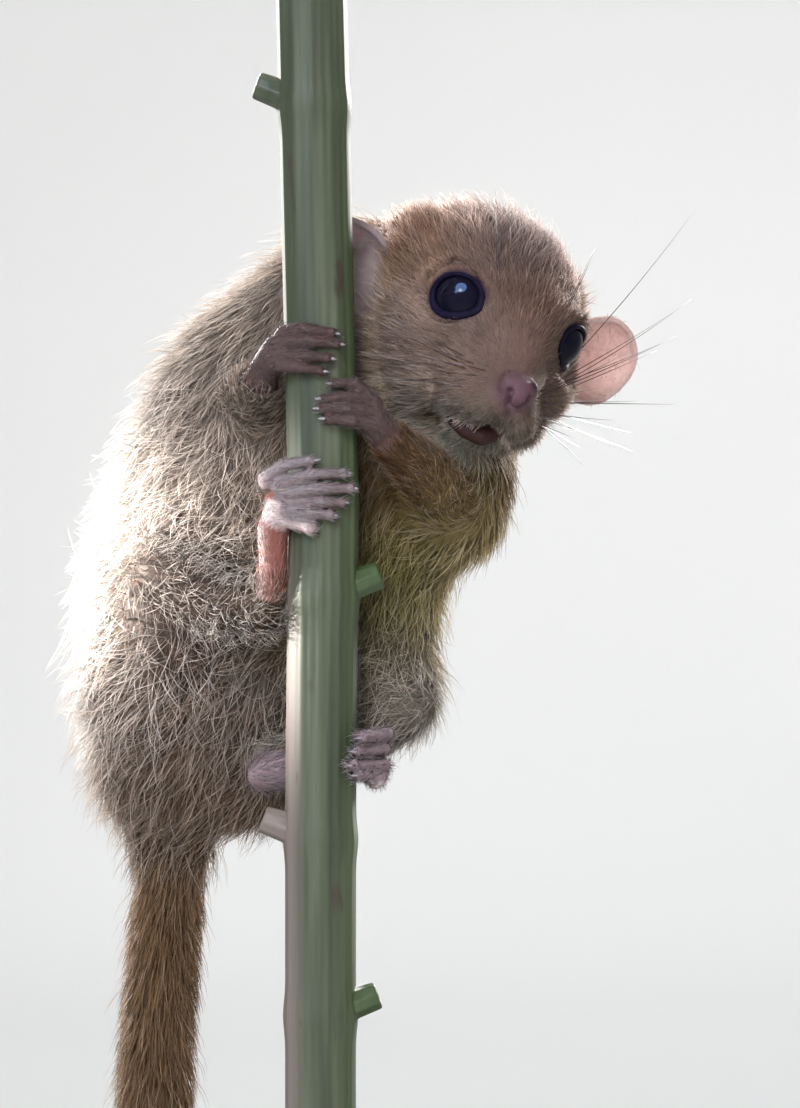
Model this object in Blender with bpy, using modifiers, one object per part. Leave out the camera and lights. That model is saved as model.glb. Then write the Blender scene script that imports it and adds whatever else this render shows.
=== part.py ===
"""A young hazel dormouse that clings to a cut plant stem, held up by a small display stand.

Everything is modelled in millimetres in its place on the stand, and each finished
piece is scaled to metres at the end. The base disc stands on Z = 0 with its middle
on the Z axis, and the animal is seen from the front along +Y.
"""
import math
import random

import bmesh
import bpy
from mathutils import Matrix, Vector

METRES_PER_MM = 0.001
GAP = 0.3
WELD = 0.002

# Stand: a round wooden base, a brass rod and the cut stem on top of it
BASE_RADIUS = 34.0
BASE_HEIGHT = 6.0
BASE_EDGE = 0.8
ROD_RADIUS = 1.6
ROD_TOP = 34.0
BASE_SIDES = 48
ROD_SIDES = 28
SMOOTH_ANGLE = math.radians(50.0)
HARD_ANGLE = math.radians(30.0)
STEM_RADIUS = 2.55
STEM_TOP = 119.0
STEM_LINE = ((-2.1, 34.3), (-2.1, 59.0), (-1.9, 81.0), (-2.4, 102.0), (-2.8, STEM_TOP))
STEM_Y = -9.0
STEM_BEVEL_STEPS = 5
STUB_ROOT = 1.2
STUB_ROOT_RADIUS = 1.5
STUB_RADIUS = 1.0
STUB_LENGTH = 2.4
STUB_RISE = 0.8
STUB_SIDES = 14
STUBS = ((56.6, -1), (44.0, 1), (74.0, 1), (109.0, -1))

# Head: its own axes are forward, left and up from the middle of the skull
HEAD_CENTRE = Vector((10.3, -3.0, 94.2))
HEAD_YAW = math.radians(17.0)
HEAD_PITCH = math.radians(19.0)
HEAD_ROLL = math.radians(22.5)
HEAD_TURN = (
    Matrix.Rotation(HEAD_YAW - math.pi / 2, 3, "Z")
    @ Matrix.Rotation(HEAD_PITCH, 3, "Y")
    @ Matrix.Rotation(-HEAD_ROLL, 3, "X")
)
SKULL = (
    ((-2.2, 0.0, -0.1), (8.1, 7.3, 7.1)),
    ((-5.4, 0.0, -0.3), (6.5, 7.4, 7.3)),
)
SNOUT = (
    (((2.5, 0.0, -1.0), (5.0, 5.0, 4.9)), ((8.0, 0.0, -3.2), (2.5, 2.3, 2.3))),
    (((2.3, 0.0, 1.2), (4.6, 5.0, 3.8)), ((6.4, 0.0, -1.6), (2.6, 2.6, 2.4))),
    (((7.0, 0.0, -2.7), (2.2, 1.9, 1.8)), ((9.9, 0.0, -2.5), (1.2, 1.25, 1.05))),
)
LOWER_JAW = (((1.0, 0.0, -5.4), (4.6, 4.2, 3.4)), ((5.9, 0.0, -7.2), (1.9, 1.9, 1.3)))
CHEEK = ((0.4, 4.0, -2.8), (5.6, 4.1, 4.8))
NAPE = ((-5.0, 5.9, 0.9), (3.4, 2.7, 4.1))
WHISKER_PAD = (((6.0, 2.2, -4.9), (2.7, 2.4, 2.5)), ((8.9, 1.15, -4.4), (1.7, 1.4, 1.6)))
NOSTRIL = (((10.8, 0.85, -2.8), 0.33), ((9.8, 1.4, -3.1), 0.25))
MOUTH_LINE = (((9.7, 0.1, -6.4), 0.3), ((7.0, 2.8, -7.1), 0.3))
EYE_RADIUS = 2.15
EYE_FORWARD = 2.4
EYE_SIDE = 4.2
EYE_UP = 0.8
EYE_SEGMENTS = 16
EYE_RINGS = 10
LID_RING = 2.0
LID_HEIGHT = 0.95
LID_RADIUS = 0.38
LID_DISTANCE = 2.62
LID_SIDES = 6
GAZE = (0.72, 0.67, 0.26)
EAR_FACING = (0.96, 0.28, 0.05)
EAR_ACROSS = (-0.28, 0.96, 0.0)
EAR_SIDE = 10.8
EAR_BACK = -3.9
EAR_UP = -0.8
EAR_HALF_WIDTH = 3.4
EAR_HALF_HEIGHT = 3.3
EAR_DEPTH = 2.2
EAR_THICKNESS = 0.7
EAR_SEGMENTS = 22
EAR_RINGS = 12

# Trunk: its spine, and the lumps at the chest, the limbs' roots and the rump
SPINE = (
    ((-12.4, 5.0, 62.4), (7.4, 7.6, 7.0)),
    ((-9.6, 5.8, 68.2), (10.8, 10.2, 9.0)),
    ((-6.5, 6.6, 75.2), (13.4, 11.8, 10.0)),
    ((-3.6, 6.6, 82.6), (14.0, 11.8, 10.0)),
    ((-1.6, 5.6, 88.6), (13.4, 10.6, 8.8)),
    ((2.2, 4.0, 94.0), (10.6, 9.4, 8.0)),
)
TRUNK_LUMPS = (
    (((6.0, 1.0, 85.5), (6.8, 7.0, 5.6)), ((6.4, -0.5, 80.4), (5.4, 5.4, 5.0))),
    (((-6.5, -1.5, 88.0), (4.2, 4.6, 4.4)), ((-6.6, -4.6, 88.6), 2.3)),
    (((-12.0, 1.5, 72.0), 7.0), ((-12.8, -0.8, 75.2), 4.6)),
    (((0.0, 2.5, 68.4), (6.8, 6.8, 6.0)), ((3.4, 0.4, 67.0), 3.6)),
    (((2.4, 2.4, 73.0), (4.6, 5.0, 4.6)), ((3.2, 1.6, 77.0), (4.4, 4.6, 4.0))),
    (((-12.6, 5.2, 61.0), 4.8), ((-13.1, 5.6, 56.8), 3.0)),
    (((-11.5, 5.0, 62.0), 5.4), ((-7.4, 4.2, 61.2), 4.8)),
)

# Limbs: points and half-widths down each one, then where its digits spring from
RIGHT_SHIN = (((-13.2, -1.6, 75.6), 3.2), ((-9.6, -5.0, 73.4), 1.9), ((-6.6, -7.2, 73.0), 1.15))
RIGHT_SOLE = (
    ((-6.6, -7.2, 73.0), 1.15),
    ((-6.4, -9.0, 76.4), 1.1),
    ((-5.9, -10.6, 79.6), 1.25),
    ((-5.4, -11.6, 81.8), 1.45),
)
RIGHT_BALL = ((-5.3, -11.7, 81.6), 1.0)
RIGHT_TOES = (
    (((-4.6, -12.4, 83.9), 0.52), ((-2.0, -12.7, 84.6), 0.4)),
    (((-3.4, -12.8, 83.0), 0.52), ((-0.4, -12.7, 83.3), 0.4)),
    (((-3.0, -12.9, 82.0), 0.52), ((0.2, -12.5, 82.0), 0.4)),
    (((-3.2, -12.9, 81.0), 0.52), ((-0.1, -12.5, 80.8), 0.4)),
    (((-4.0, -12.6, 80.0), 0.52), ((-1.4, -12.7, 79.6), 0.4)),
)
LEFT_SHIN = (((3.6, 0.0, 66.2), 2.9), ((-1.0, -2.0, 63.2), 2.0), ((-6.0, -3.6, 61.2), 1.5))
LEFT_SOLE = (((-6.0, -3.6, 61.2), 1.5), ((-2.2, -4.6, 61.9), 1.1), ((0.9, -5.4, 62.2), 1.2))
LEFT_BALL = ((0.9, -5.4, 62.2), 1.0)
LEFT_TOE_HEIGHTS = (63.7, 62.5, 61.2)
LEFT_TOE = (((2.2, -7.8, 0.0), 0.56), ((1.7, -10.8, -0.2), 0.46))
RIGHT_FOREARM = (((-6.6, -5.2, 88.6), 2.0), ((-6.4, -7.6, 89.6), 1.6), ((-5.8, -9.4, 91.0), 1.35))
RIGHT_PALM = ((-5.8, -9.4, 91.2), 1.15)
RIGHT_FINGER_HEIGHTS = (93.1, 92.0, 90.9, 89.8)
RIGHT_FINGER = (((-4.6, -12.0, 0.0), 0.48), ((-1.3, -12.6, 0.0), 0.38))
LEFT_FOREARM = (((6.6, -3.6, 81.4), 2.3), ((4.6, -7.0, 84.0), 1.7), ((2.6, -9.2, 86.0), 1.5))
LEFT_PALM = ((2.2, -9.4, 86.8), 1.3)
LEFT_FINGER_HEIGHTS = (88.8, 87.7, 86.6, 85.5)
LEFT_FINGER = (((0.9, -12.0, 0.0), 0.5), ((-1.4, -12.6, 0.0), 0.4))

# Tail: hangs from the rump, as points with the half-width of its coat
TAIL_LINE = (
    ((-12.9, 5.2, 60.5), 3.3),
    ((-13.2, 5.6, 56.5), 2.5),
    ((-13.5, 5.2, 52.0), 2.2),
    ((-14.0, 4.6, 46.5), 2.3),
    ((-14.4, 4.2, 40.5), 2.5),
    ((-14.6, 4.4, 34.0), 2.6),
    ((-14.3, 5.0, 27.5), 2.6),
    ((-13.4, 6.0, 21.0), 2.5),
    ((-12.2, 7.2, 15.5), 2.0),
    ((-11.4, 8.0, 11.6), 1.1),
)
TAIL_CUTS = (44.0, 27.0)

# Locks of the tail: tiers of flat tapered locks round a core of half the coat's width.
# Lifts are shares of the coat's half-width, and a bend is a share of the lock's length.
TAIL_CORE = 0.5
LOCK_TIERS = 11
LOCKS_IN_TIER = 5
LOCK_FIRST = 2.0
LOCK_SPACING = 4.1
LOCK_LENGTH = 7.3
LOCK_HALF_WIDTH = 2.1
LOCK_HALF_THICKNESS = 0.5
LOCK_SIDES = 3
LOCK_RINGS = 4
LOCK_ROOT_LIFT = 0.2
LOCK_TIP_LIFT = 1.04
LOCK_BEND = 0.55
LOCK_TAPER = 1.4
TURN_SPREAD = 0.15
START_SPREAD = 0.4
LENGTH_SPREAD = (0.88, 1.06)
SEED = 7

# Where the neck and upper limbs leave the trunk, and the hands and feet the limbs: the
# middle and radii of the ball that parts each one
NECK = ((6.0, 1.0, 97.0), (17.0, 14.0, 10.0))
UPPER_LIMBS = {
    "thigh_right": ((-13.0, -2.0, 73.4), (6.4, 6.4, 6.4)),
    "thigh_left": ((3.2, 0.4, 67.6), (6.2, 6.6, 6.2)),
    "upper_arm_left": ((8.0, -2.0, 82.0), (6.4, 6.4, 6.4)),
    "upper_arm_right": ((-6.6, -5.0, 88.6), (4.4, 4.4, 4.4)),
}
ENDS = (
    ("foot_right", "shin_right", (-4.0, -11.0, 78.8), (6.0, 6.0, 7.0)),
    ("foot_left", "shin_left", (0.5, -7.0, 62.4), (6.2, 6.0, 6.0)),
    ("hand_right", "forearm_right", (-3.4, -11.6, 91.4), (3.6, 3.2, 3.6)),
    ("hand_left", "forearm_left", (-0.4, -11.4, 87.0), (3.8, 3.2, 3.6)),
)

# How finely each fused mass is melted together, and the triangles that it is thinned to
HEAD_VOXEL = 0.45
HEAD_TRIANGLES = 1700
TRUNK_VOXEL = 0.8
TRUNK_TRIANGLES = 1800
LIMB_VOXEL = 0.2
LIMB_TRIANGLES = 560
TAIL_VOXEL = 0.4
TAIL_TRIANGLES = 180
BODY_SMOOTHING = 8
LIMB_SMOOTHING = 3

# Sides round and from pole to pole of the balls and rods that make and cut the pieces
BALL_SEGMENTS = 20
BALL_RINGS = 14
PILL_SEGMENTS = 16
PILL_RINGS = 10
REGION_SEGMENTS = 14
REGION_RINGS = 9
FINE_SEGMENTS = 8
FINE_RINGS = 6
REGION_WIDTH = 80.0


def clear_scene():
    """Remove every object that the new file holds."""
    for item in list(bpy.data.objects):
        bpy.data.objects.remove(item, do_unlink=True)


def new_collection(name):
    """Make a collection inside the scene's own one."""
    collection = bpy.data.collections.new(name)
    bpy.context.scene.collection.children.link(collection)
    return collection


def in_head(forward, left, up):
    """Place a point given by the head's own axes."""
    return HEAD_CENTRE + HEAD_TURN @ Vector((forward, left, up))


def object_from(mesh_builder, name):
    """Turn a bmesh into an object in the workshop collection."""
    mesh = bpy.data.meshes.new(name)
    bmesh.ops.recalc_face_normals(mesh_builder, faces=mesh_builder.faces)
    mesh_builder.to_mesh(mesh)
    mesh_builder.free()
    item = bpy.data.objects.new(name, mesh)
    WORKSHOP.objects.link(item)
    return item


def add_ball(builder, centre, radii, turn, segments, rings):
    """Add an ellipsoid to a bmesh and return its vertices."""
    rotation = turn.to_4x4() if turn else Matrix.Identity(4)
    place = Matrix.Translation(Vector(centre)) @ rotation @ Matrix.Diagonal((*radii, 1.0))
    made = bmesh.ops.create_uvsphere(
        builder, u_segments=segments, v_segments=rings, radius=1.0, matrix=place
    )
    return made["verts"]


def ball(centre, radii, turn=None, segments=BALL_SEGMENTS, rings=BALL_RINGS):
    """Make an ellipsoid as an object of its own."""
    builder = bmesh.new()
    add_ball(builder, centre, radii, turn, segments, rings)
    return object_from(builder, "ball")


def pill(start, end, turn=None, segments=PILL_SEGMENTS, rings=PILL_RINGS):
    """Make the hull round two ellipsoids, each given as its centre and its radii."""
    builder = bmesh.new()
    verts = []
    for centre, radii in (start, end):
        sizes = radii if isinstance(radii, tuple) else (radii, radii, radii)
        verts.extend(add_ball(builder, centre, sizes, turn, segments, rings))
    bmesh.ops.delete(builder, geom=list(builder.edges), context="EDGES_FACES")
    hull = bmesh.ops.convex_hull(builder, input=verts)
    loose = [v for v in hull["geom_interior"] if isinstance(v, bmesh.types.BMVert)]
    bmesh.ops.delete(builder, geom=loose, context="VERTS")
    return object_from(builder, "pill")


def chain(line):
    """Make the pills that join each point of a line to the next one."""
    return [pill(here, after) for here, after in zip(line, line[1:])]


def block(centre, size):
    """Make a box as an object of its own."""
    builder = bmesh.new()
    place = Matrix.Translation(Vector(centre)) @ Matrix.Diagonal((*size, 1.0))
    bmesh.ops.create_cube(builder, size=1.0, matrix=place)
    return object_from(builder, "block")


def rod_between(start, end, radius, end_radius, sides):
    """Make a closed cylinder or cone from one point to another."""
    start = Vector(start)
    end = Vector(end)
    along = end - start
    rotation = along.to_track_quat("Z", "Y").to_matrix().to_4x4()
    builder = bmesh.new()
    bmesh.ops.create_cone(
        builder,
        cap_ends=True,
        segments=sides,
        radius1=radius,
        radius2=end_radius,
        depth=along.length,
        matrix=Matrix.Translation((start + end) / 2) @ rotation,
    )
    return object_from(builder, "rod")


def bake(item):
    """Apply every modifier of an object."""
    graph = bpy.context.evaluated_depsgraph_get()
    mesh = bpy.data.meshes.new_from_object(item.evaluated_get(graph))
    item.modifiers.clear()
    item.data = mesh
    return item


def discard(item):
    """Remove an object that has done its work."""
    bpy.data.objects.remove(item, do_unlink=True)


def copy_of(item):
    """Copy an object together with its mesh."""
    twin = item.copy()
    twin.data = item.data.copy()
    WORKSHOP.objects.link(twin)
    return twin


def join(items):
    """Put the meshes of several objects into one object, still as separate shells."""
    builder = bmesh.new()
    for item in items:
        builder.from_mesh(item.data)
        discard(item)
    return object_from(builder, "joined")


def fused(items, voxel, smoothing, triangles):
    """Melt overlapping shells into one smooth surface and thin out its triangles."""
    item = join(items)
    remesh = item.modifiers.new("melt", "REMESH")
    remesh.mode = "VOXEL"
    remesh.voxel_size = voxel
    smooth = item.modifiers.new("soften", "SMOOTH")
    smooth.factor = 0.5
    smooth.iterations = smoothing
    bake(item)
    return thinned(item, triangles)


def thinned(item, triangles):
    """Reduce a mesh to about the given number of triangles."""
    item.data.calc_loop_triangles()
    thin = item.modifiers.new("thin", "DECIMATE")
    thin.ratio = min(1.0, triangles / len(item.data.loop_triangles))
    thin.use_collapse_triangulate = True
    return bake(item)


def combine(item, tool, operation, keep_tool=False):
    """Cut an object with another, join them or keep what they share."""
    modifier = item.modifiers.new("combine", "BOOLEAN")
    modifier.operation = operation
    modifier.solver = "EXACT"
    modifier.object = tool
    bake(item)
    if not keep_tool:
        discard(tool)
    return item


def grown(item, distance=GAP):
    """Copy an object and push its surface outward."""
    twin = copy_of(item)
    push = twin.modifiers.new("push", "DISPLACE")
    push.mid_level = 0.0
    push.strength = distance
    return bake(twin)


def largest(item):
    """Keep only the largest closed surface of a mesh, with its tiny edges welded."""
    builder = bmesh.new()
    builder.from_mesh(item.data)
    bmesh.ops.remove_doubles(builder, verts=builder.verts, dist=WELD)
    bmesh.ops.dissolve_degenerate(builder, dist=WELD, edges=builder.edges)
    bmesh.ops.triangulate(builder, faces=builder.faces)
    islands = []
    seen = set()
    for first in builder.verts:
        if first in seen:
            continue
        island = {first}
        waiting = [first]
        while waiting:
            for edge in waiting.pop().link_edges:
                for vert in edge.verts:
                    if vert not in island:
                        island.add(vert)
                        waiting.append(vert)
        seen |= island
        islands.append(island)
    islands.sort(key=island_spread)
    for island in islands[:-1]:
        bmesh.ops.delete(builder, geom=list(island), context="VERTS")
    builder.to_mesh(item.data)
    builder.free()
    return item


def island_spread(island):
    """Measure the diagonal of the box round a set of vertices."""
    spans = [max(v.co[i] for v in island) - min(v.co[i] for v in island) for i in range(3)]
    return math.hypot(*spans)


def split_off(whole, region):
    """Cut the part of a mesh that lies in a region off it, with a gap between them.

    The region is a function that makes the region's shape, grown by a distance.
    """
    piece = combine(copy_of(whole), region(0.0), "INTERSECT")
    combine(whole, region(GAP), "DIFFERENCE")
    return largest(piece)


def material(name, colour, roughness, metallic=0.0):
    """Make a plain surface finish."""
    made = bpy.data.materials.new(name)
    made.use_nodes = True
    shader = made.node_tree.nodes["Principled BSDF"]
    shader.inputs["Base Color"].default_value = (*colour, 1.0)
    shader.inputs["Roughness"].default_value = roughness
    shader.inputs["Metallic"].default_value = metallic
    return made


def finish(item, name, finish_material, angle=SMOOTH_ANGLE):
    """Name a piece, give it its material, centre its origin and scale it to metres."""
    largest(item)
    item.name = name
    mesh = item.data
    mesh.name = name
    mesh.materials.clear()
    mesh.materials.append(finish_material)
    mesh.transform(Matrix.Scale(METRES_PER_MM, 4))
    corners = [vertex.co for vertex in mesh.vertices]
    low = Vector([min(co[i] for co in corners) for i in range(3)])
    high = Vector([max(co[i] for co in corners) for i in range(3)])
    middle = (low + high) / 2
    mesh.transform(Matrix.Translation(-middle))
    mesh.shade_smooth()
    mesh.set_sharp_from_angle(angle=angle)
    item.location = middle
    item.parent = ANCHOR
    WORKSHOP.objects.unlink(item)
    PARTS.objects.link(item)
    return item


def eye_place(side):
    """Give the middle of the eye on one side of the head, +1 for left."""
    return in_head(EYE_FORWARD, side * EYE_SIDE, EYE_UP)


def in_head_pill(ends, side=1):
    """Make the hull round two ellipsoids placed by the head's own axes."""
    start, end = (
        (in_head(forward, side * left, up), radii)
        for (forward, left, up), radii in ends
    )
    return pill(start, end, HEAD_TURN)


def in_head_ball(shape, side=1):
    """Make an ellipsoid placed by the head's own axes."""
    (forward, left, up), radii = shape
    return ball(in_head(forward, side * left, up), radii, HEAD_TURN)


def make_head_mass():
    """Fuse the skull, cheeks, muzzle, nose and lower jaw into one smooth head."""
    pieces = [in_head_ball(shape) for shape in SKULL]
    pieces += [in_head_pill(ends) for ends in (*SNOUT, LOWER_JAW)]
    for side in (1, -1):
        pieces.append(in_head_ball(CHEEK, side))
        pieces.append(in_head_ball(NAPE, side))
        pieces.append(in_head_pill(WHISKER_PAD, side))
    return fused(pieces, HEAD_VOXEL, BODY_SMOOTHING, HEAD_TRIANGLES)


def make_eye(side):
    """Make one eyeball."""
    return ball(eye_place(side), (EYE_RADIUS,) * 3, HEAD_TURN, EYE_SEGMENTS, EYE_RINGS)


def head_direction(direction, side):
    """Turn a direction given by the head's axes for one side, +1 for left, into the stand's."""
    forward, left, up = direction
    return (HEAD_TURN @ Vector((forward, side * left, up))).normalized()


def make_lid(side):
    """Make the ring of the lids round one eye."""
    outward = head_direction(GAZE, side)
    place = eye_place(side) + outward * math.sqrt(LID_DISTANCE**2 - LID_RING**2)
    bpy.ops.mesh.primitive_torus_add(
        major_segments=EYE_SEGMENTS,
        minor_segments=LID_SIDES,
        major_radius=LID_RING,
        minor_radius=LID_RADIUS,
    )
    ring = bpy.context.object
    across = (HEAD_TURN @ Vector((0.0, 0.0, 1.0))).cross(outward).normalized()
    turn = Matrix((across, outward.cross(across), outward)).transposed().to_4x4()
    shape = Matrix.Diagonal((1.0, LID_HEIGHT, 1.0, 1.0))
    ring.data.transform(Matrix.Translation(place) @ turn @ shape)
    for owner in list(ring.users_collection):
        owner.objects.unlink(ring)
    WORKSHOP.objects.link(ring)
    return ring


def add_face_details(head):
    """Give the head its lids, eye sockets, nostrils and the line of the mouth."""
    for side in (1, -1):
        combine(head, make_lid(side), "UNION")
        socket = ball(eye_place(side), (EYE_RADIUS + GAP,) * 3, HEAD_TURN, EYE_SEGMENTS, EYE_RINGS)
        combine(head, socket, "DIFFERENCE")
        for groove in (NOSTRIL, MOUTH_LINE):
            combine(head, make_groove(groove, side), "DIFFERENCE")
    return head


def make_groove(ends, side):
    """Make the slim round-ended rod that cuts a nostril or half of the mouth's line."""
    start, end = (
        (in_head(forward, side * left, up), radius)
        for (forward, left, up), radius in ends
    )
    return pill(start, end, None, FINE_SEGMENTS, FINE_RINGS)


def make_ear(side):
    """Make one round, thin cup of an ear, open to the front."""
    facing = head_direction(EAR_FACING, side)
    across = head_direction(EAR_ACROSS, side)
    up = facing.cross(across).normalized()
    turn = Matrix((across, up, facing)).transposed().to_4x4()
    size = Matrix.Diagonal((EAR_HALF_WIDTH, EAR_HALF_HEIGHT, EAR_DEPTH, 1.0))
    place = Matrix.Translation(in_head(EAR_BACK, side * EAR_SIDE, EAR_UP)) @ turn @ size
    builder = bmesh.new()
    bmesh.ops.create_uvsphere(builder, u_segments=EAR_SEGMENTS, v_segments=EAR_RINGS, radius=1.0)
    front = [vertex for vertex in builder.verts if vertex.co.z > WELD]
    bmesh.ops.delete(builder, geom=front, context="VERTS")
    bmesh.ops.transform(builder, matrix=place, verts=builder.verts)
    ear = object_from(builder, "ear")
    shell = ear.modifiers.new("shell", "SOLIDIFY")
    shell.thickness = EAR_THICKNESS
    shell.offset = 0.0
    return bake(ear)


def make_trunk_mass():
    """Fuse the body, its neck and the roots of its limbs and tail."""
    pieces = chain(SPINE)
    pieces += [pill(start, end) for start, end in TRUNK_LUMPS]
    return fused(pieces, TRUNK_VOXEL, BODY_SMOOTHING, TRUNK_TRIANGLES)


def limb(lines, root, digits):
    """Fuse the lengths of a limb with the digits that spring from one root."""
    pieces = [piece for line in lines for piece in chain(line)]
    for digit in digits:
        pieces += chain((root, *digit))
    return fused(pieces, LIMB_VOXEL, LIMB_SMOOTHING, LIMB_TRIANGLES)


def raised(digit, height):
    """Lift the points of one digit to a height on the stem."""
    return [((x, y, z + height), radius) for (x, y, z), radius in digit]


def make_right_leg():
    """Make the raised right hind foot: shin, heel, sole and toes round the stem's front."""
    return limb((RIGHT_SHIN, RIGHT_SOLE), RIGHT_BALL, RIGHT_TOES)


def make_left_leg():
    """Make the lower left hind foot, which passes behind the stem and hooks round it."""
    toes = [raised(LEFT_TOE, height) for height in LEFT_TOE_HEIGHTS]
    return limb((LEFT_SHIN, LEFT_SOLE), LEFT_BALL, toes)


def make_right_arm():
    """Make the right forearm and hand, which grips the stem from the animal's right."""
    fingers = [raised(RIGHT_FINGER, height) for height in RIGHT_FINGER_HEIGHTS]
    return limb((RIGHT_FOREARM,), RIGHT_PALM, fingers)


def make_left_arm():
    """Make the left forearm and hand, which grips the stem from the animal's left."""
    fingers = [raised(LEFT_FINGER, height) for height in LEFT_FINGER_HEIGHTS]
    return limb((LEFT_FOREARM,), LEFT_PALM, fingers)


def stem_middle(height):
    """Give the X of the stem's middle at a height."""
    for (x0, z0), (x1, z1) in zip(STEM_LINE, STEM_LINE[1:]):
        if height <= z1:
            return x0 + (x1 - x0) * (height - z0) / (z1 - z0)
    return STEM_LINE[-1][0]


def make_stem():
    """Make the cut stem with the short stubs of its leaf stalks."""
    curve = bpy.data.curves.new("stem", "CURVE")
    curve.dimensions = "3D"
    curve.bevel_depth = STEM_RADIUS
    curve.bevel_resolution = STEM_BEVEL_STEPS
    curve.use_fill_caps = True
    spline = curve.splines.new("POLY")
    spline.points.add(len(STEM_LINE) - 1)
    for point, (x, z) in zip(spline.points, STEM_LINE):
        point.co = (x, STEM_Y, z, 1.0)
    drawn = bpy.data.objects.new("stem", curve)
    WORKSHOP.objects.link(drawn)
    bpy.context.view_layer.update()
    graph = bpy.context.evaluated_depsgraph_get()
    mesh = bpy.data.meshes.new_from_object(drawn.evaluated_get(graph))
    stem = bpy.data.objects.new("stem", mesh)
    stem.matrix_world = drawn.matrix_world
    WORKSHOP.objects.link(stem)
    discard(drawn)
    builder = bmesh.new()
    builder.from_mesh(mesh)
    bmesh.ops.remove_doubles(builder, verts=builder.verts, dist=WELD)
    bmesh.ops.recalc_face_normals(builder, faces=builder.faces)
    builder.to_mesh(mesh)
    builder.free()
    for height, side in STUBS:
        middle = stem_middle(height)
        root = (middle + side * STUB_ROOT, STEM_Y, height)
        tip = (middle + side * (STEM_RADIUS + STUB_LENGTH), STEM_Y, height + STUB_LENGTH * STUB_RISE)
        stub = rod_between(root, tip, STUB_ROOT_RADIUS, STUB_RADIUS, STUB_SIDES)
        combine(stem, stub, "UNION")
    return stem


def make_base():
    """Make the round wooden base with a softened edge."""
    top = (0.0, 0.0, BASE_HEIGHT)
    disc = rod_between((0.0, 0.0, 0.0), top, BASE_RADIUS, BASE_RADIUS, BASE_SIDES)
    edge = disc.modifiers.new("edge", "BEVEL")
    edge.width = BASE_EDGE
    edge.segments = 2
    edge.limit_method = "ANGLE"
    return bake(disc)


def make_rod():
    """Make the brass rod between the base and the stem."""
    middle = STEM_LINE[0][0]
    foot = (middle, STEM_Y, BASE_HEIGHT + GAP)
    return rod_between(foot, (middle, STEM_Y, ROD_TOP), ROD_RADIUS, ROD_RADIUS, ROD_SIDES)


def make_tail_mass():
    """Make the whole tail: a slim core with flat tapered locks out to the coat's tips."""
    core_line = [(point, radius * TAIL_CORE) for point, radius in TAIL_LINE]
    core = fused(chain(core_line), TAIL_VOXEL, LIMB_SMOOTHING, TAIL_TRIANGLES)
    locks = new_collection("tail_locks")
    for lock in make_tail_locks():
        WORKSHOP.objects.unlink(lock)
        locks.objects.link(lock)
    union = core.modifiers.new("locks", "BOOLEAN")
    union.operation = "UNION"
    union.operand_type = "COLLECTION"
    union.collection = locks
    bake(core)
    for lock in list(locks.objects):
        discard(lock)
    bpy.data.collections.remove(locks)
    return core


def along_tail(distance):
    """Give the point, the direction and the coat's half-width at a distance down the tail."""
    for (here, radius), (after, next_radius) in zip(TAIL_LINE, TAIL_LINE[1:]):
        step = Vector(after) - Vector(here)
        if distance <= step.length:
            share = distance / step.length
            return Vector(here) + step * share, step.normalized(), radius + (next_radius - radius) * share
        distance -= step.length
    return Vector(after), step.normalized(), next_radius


def make_tail_locks():
    """Make tiers of locks down the tail, each tier turned half a lock from the last."""
    locks = []
    for tier in range(LOCK_TIERS):
        for place in range(LOCKS_IN_TIER):
            angle = 2.0 * math.pi * (place + tier / 2.0) / LOCKS_IN_TIER
            angle += random.uniform(-TURN_SPREAD, TURN_SPREAD)
            start = LOCK_FIRST + LOCK_SPACING * tier + random.uniform(-START_SPREAD, START_SPREAD)
            locks.append(make_lock(start, angle, random.uniform(*LENGTH_SPREAD)))
    return locks


def make_lock(start, angle, scale):
    """Make one flat tapered lock with a ridged back, from its root in the core to its tip."""
    builder = bmesh.new()
    bmesh.ops.create_uvsphere(builder, u_segments=LOCK_SIDES, v_segments=LOCK_RINGS, radius=1.0)
    for vert in builder.verts:
        share = (1.0 - vert.co.z) / 2.0
        point, down, radius = along_tail(start + LOCK_LENGTH * share * scale)
        across = down.cross(Vector((math.cos(angle), math.sin(angle), 0.0))).normalized()
        outward = across.cross(down).normalized()
        lift = LOCK_ROOT_LIFT + (LOCK_TIP_LIFT - LOCK_ROOT_LIFT) * share**LOCK_BEND
        width = (1.0 - share**LOCK_TAPER) ** 0.5 * (LOCK_HALF_WIDTH * vert.co.y)
        rise = LOCK_HALF_THICKNESS * vert.co.x
        vert.co = point + outward * (radius * lift + rise) * scale + across * width * scale
    return object_from(builder, "lock")


def below(level):
    """Give the region below a level, for cutting the tail into lengths."""
    return lambda grow: block((0.0, 0.0, level / 2 + grow), (REGION_WIDTH, REGION_WIDTH, level))


def ball_region(centre, radii):
    """Give an ellipsoid region, for cutting a limb or the neck off the trunk."""
    return lambda grow: ball(centre, tuple(r + grow for r in radii), None, REGION_SEGMENTS, REGION_RINGS)


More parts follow.
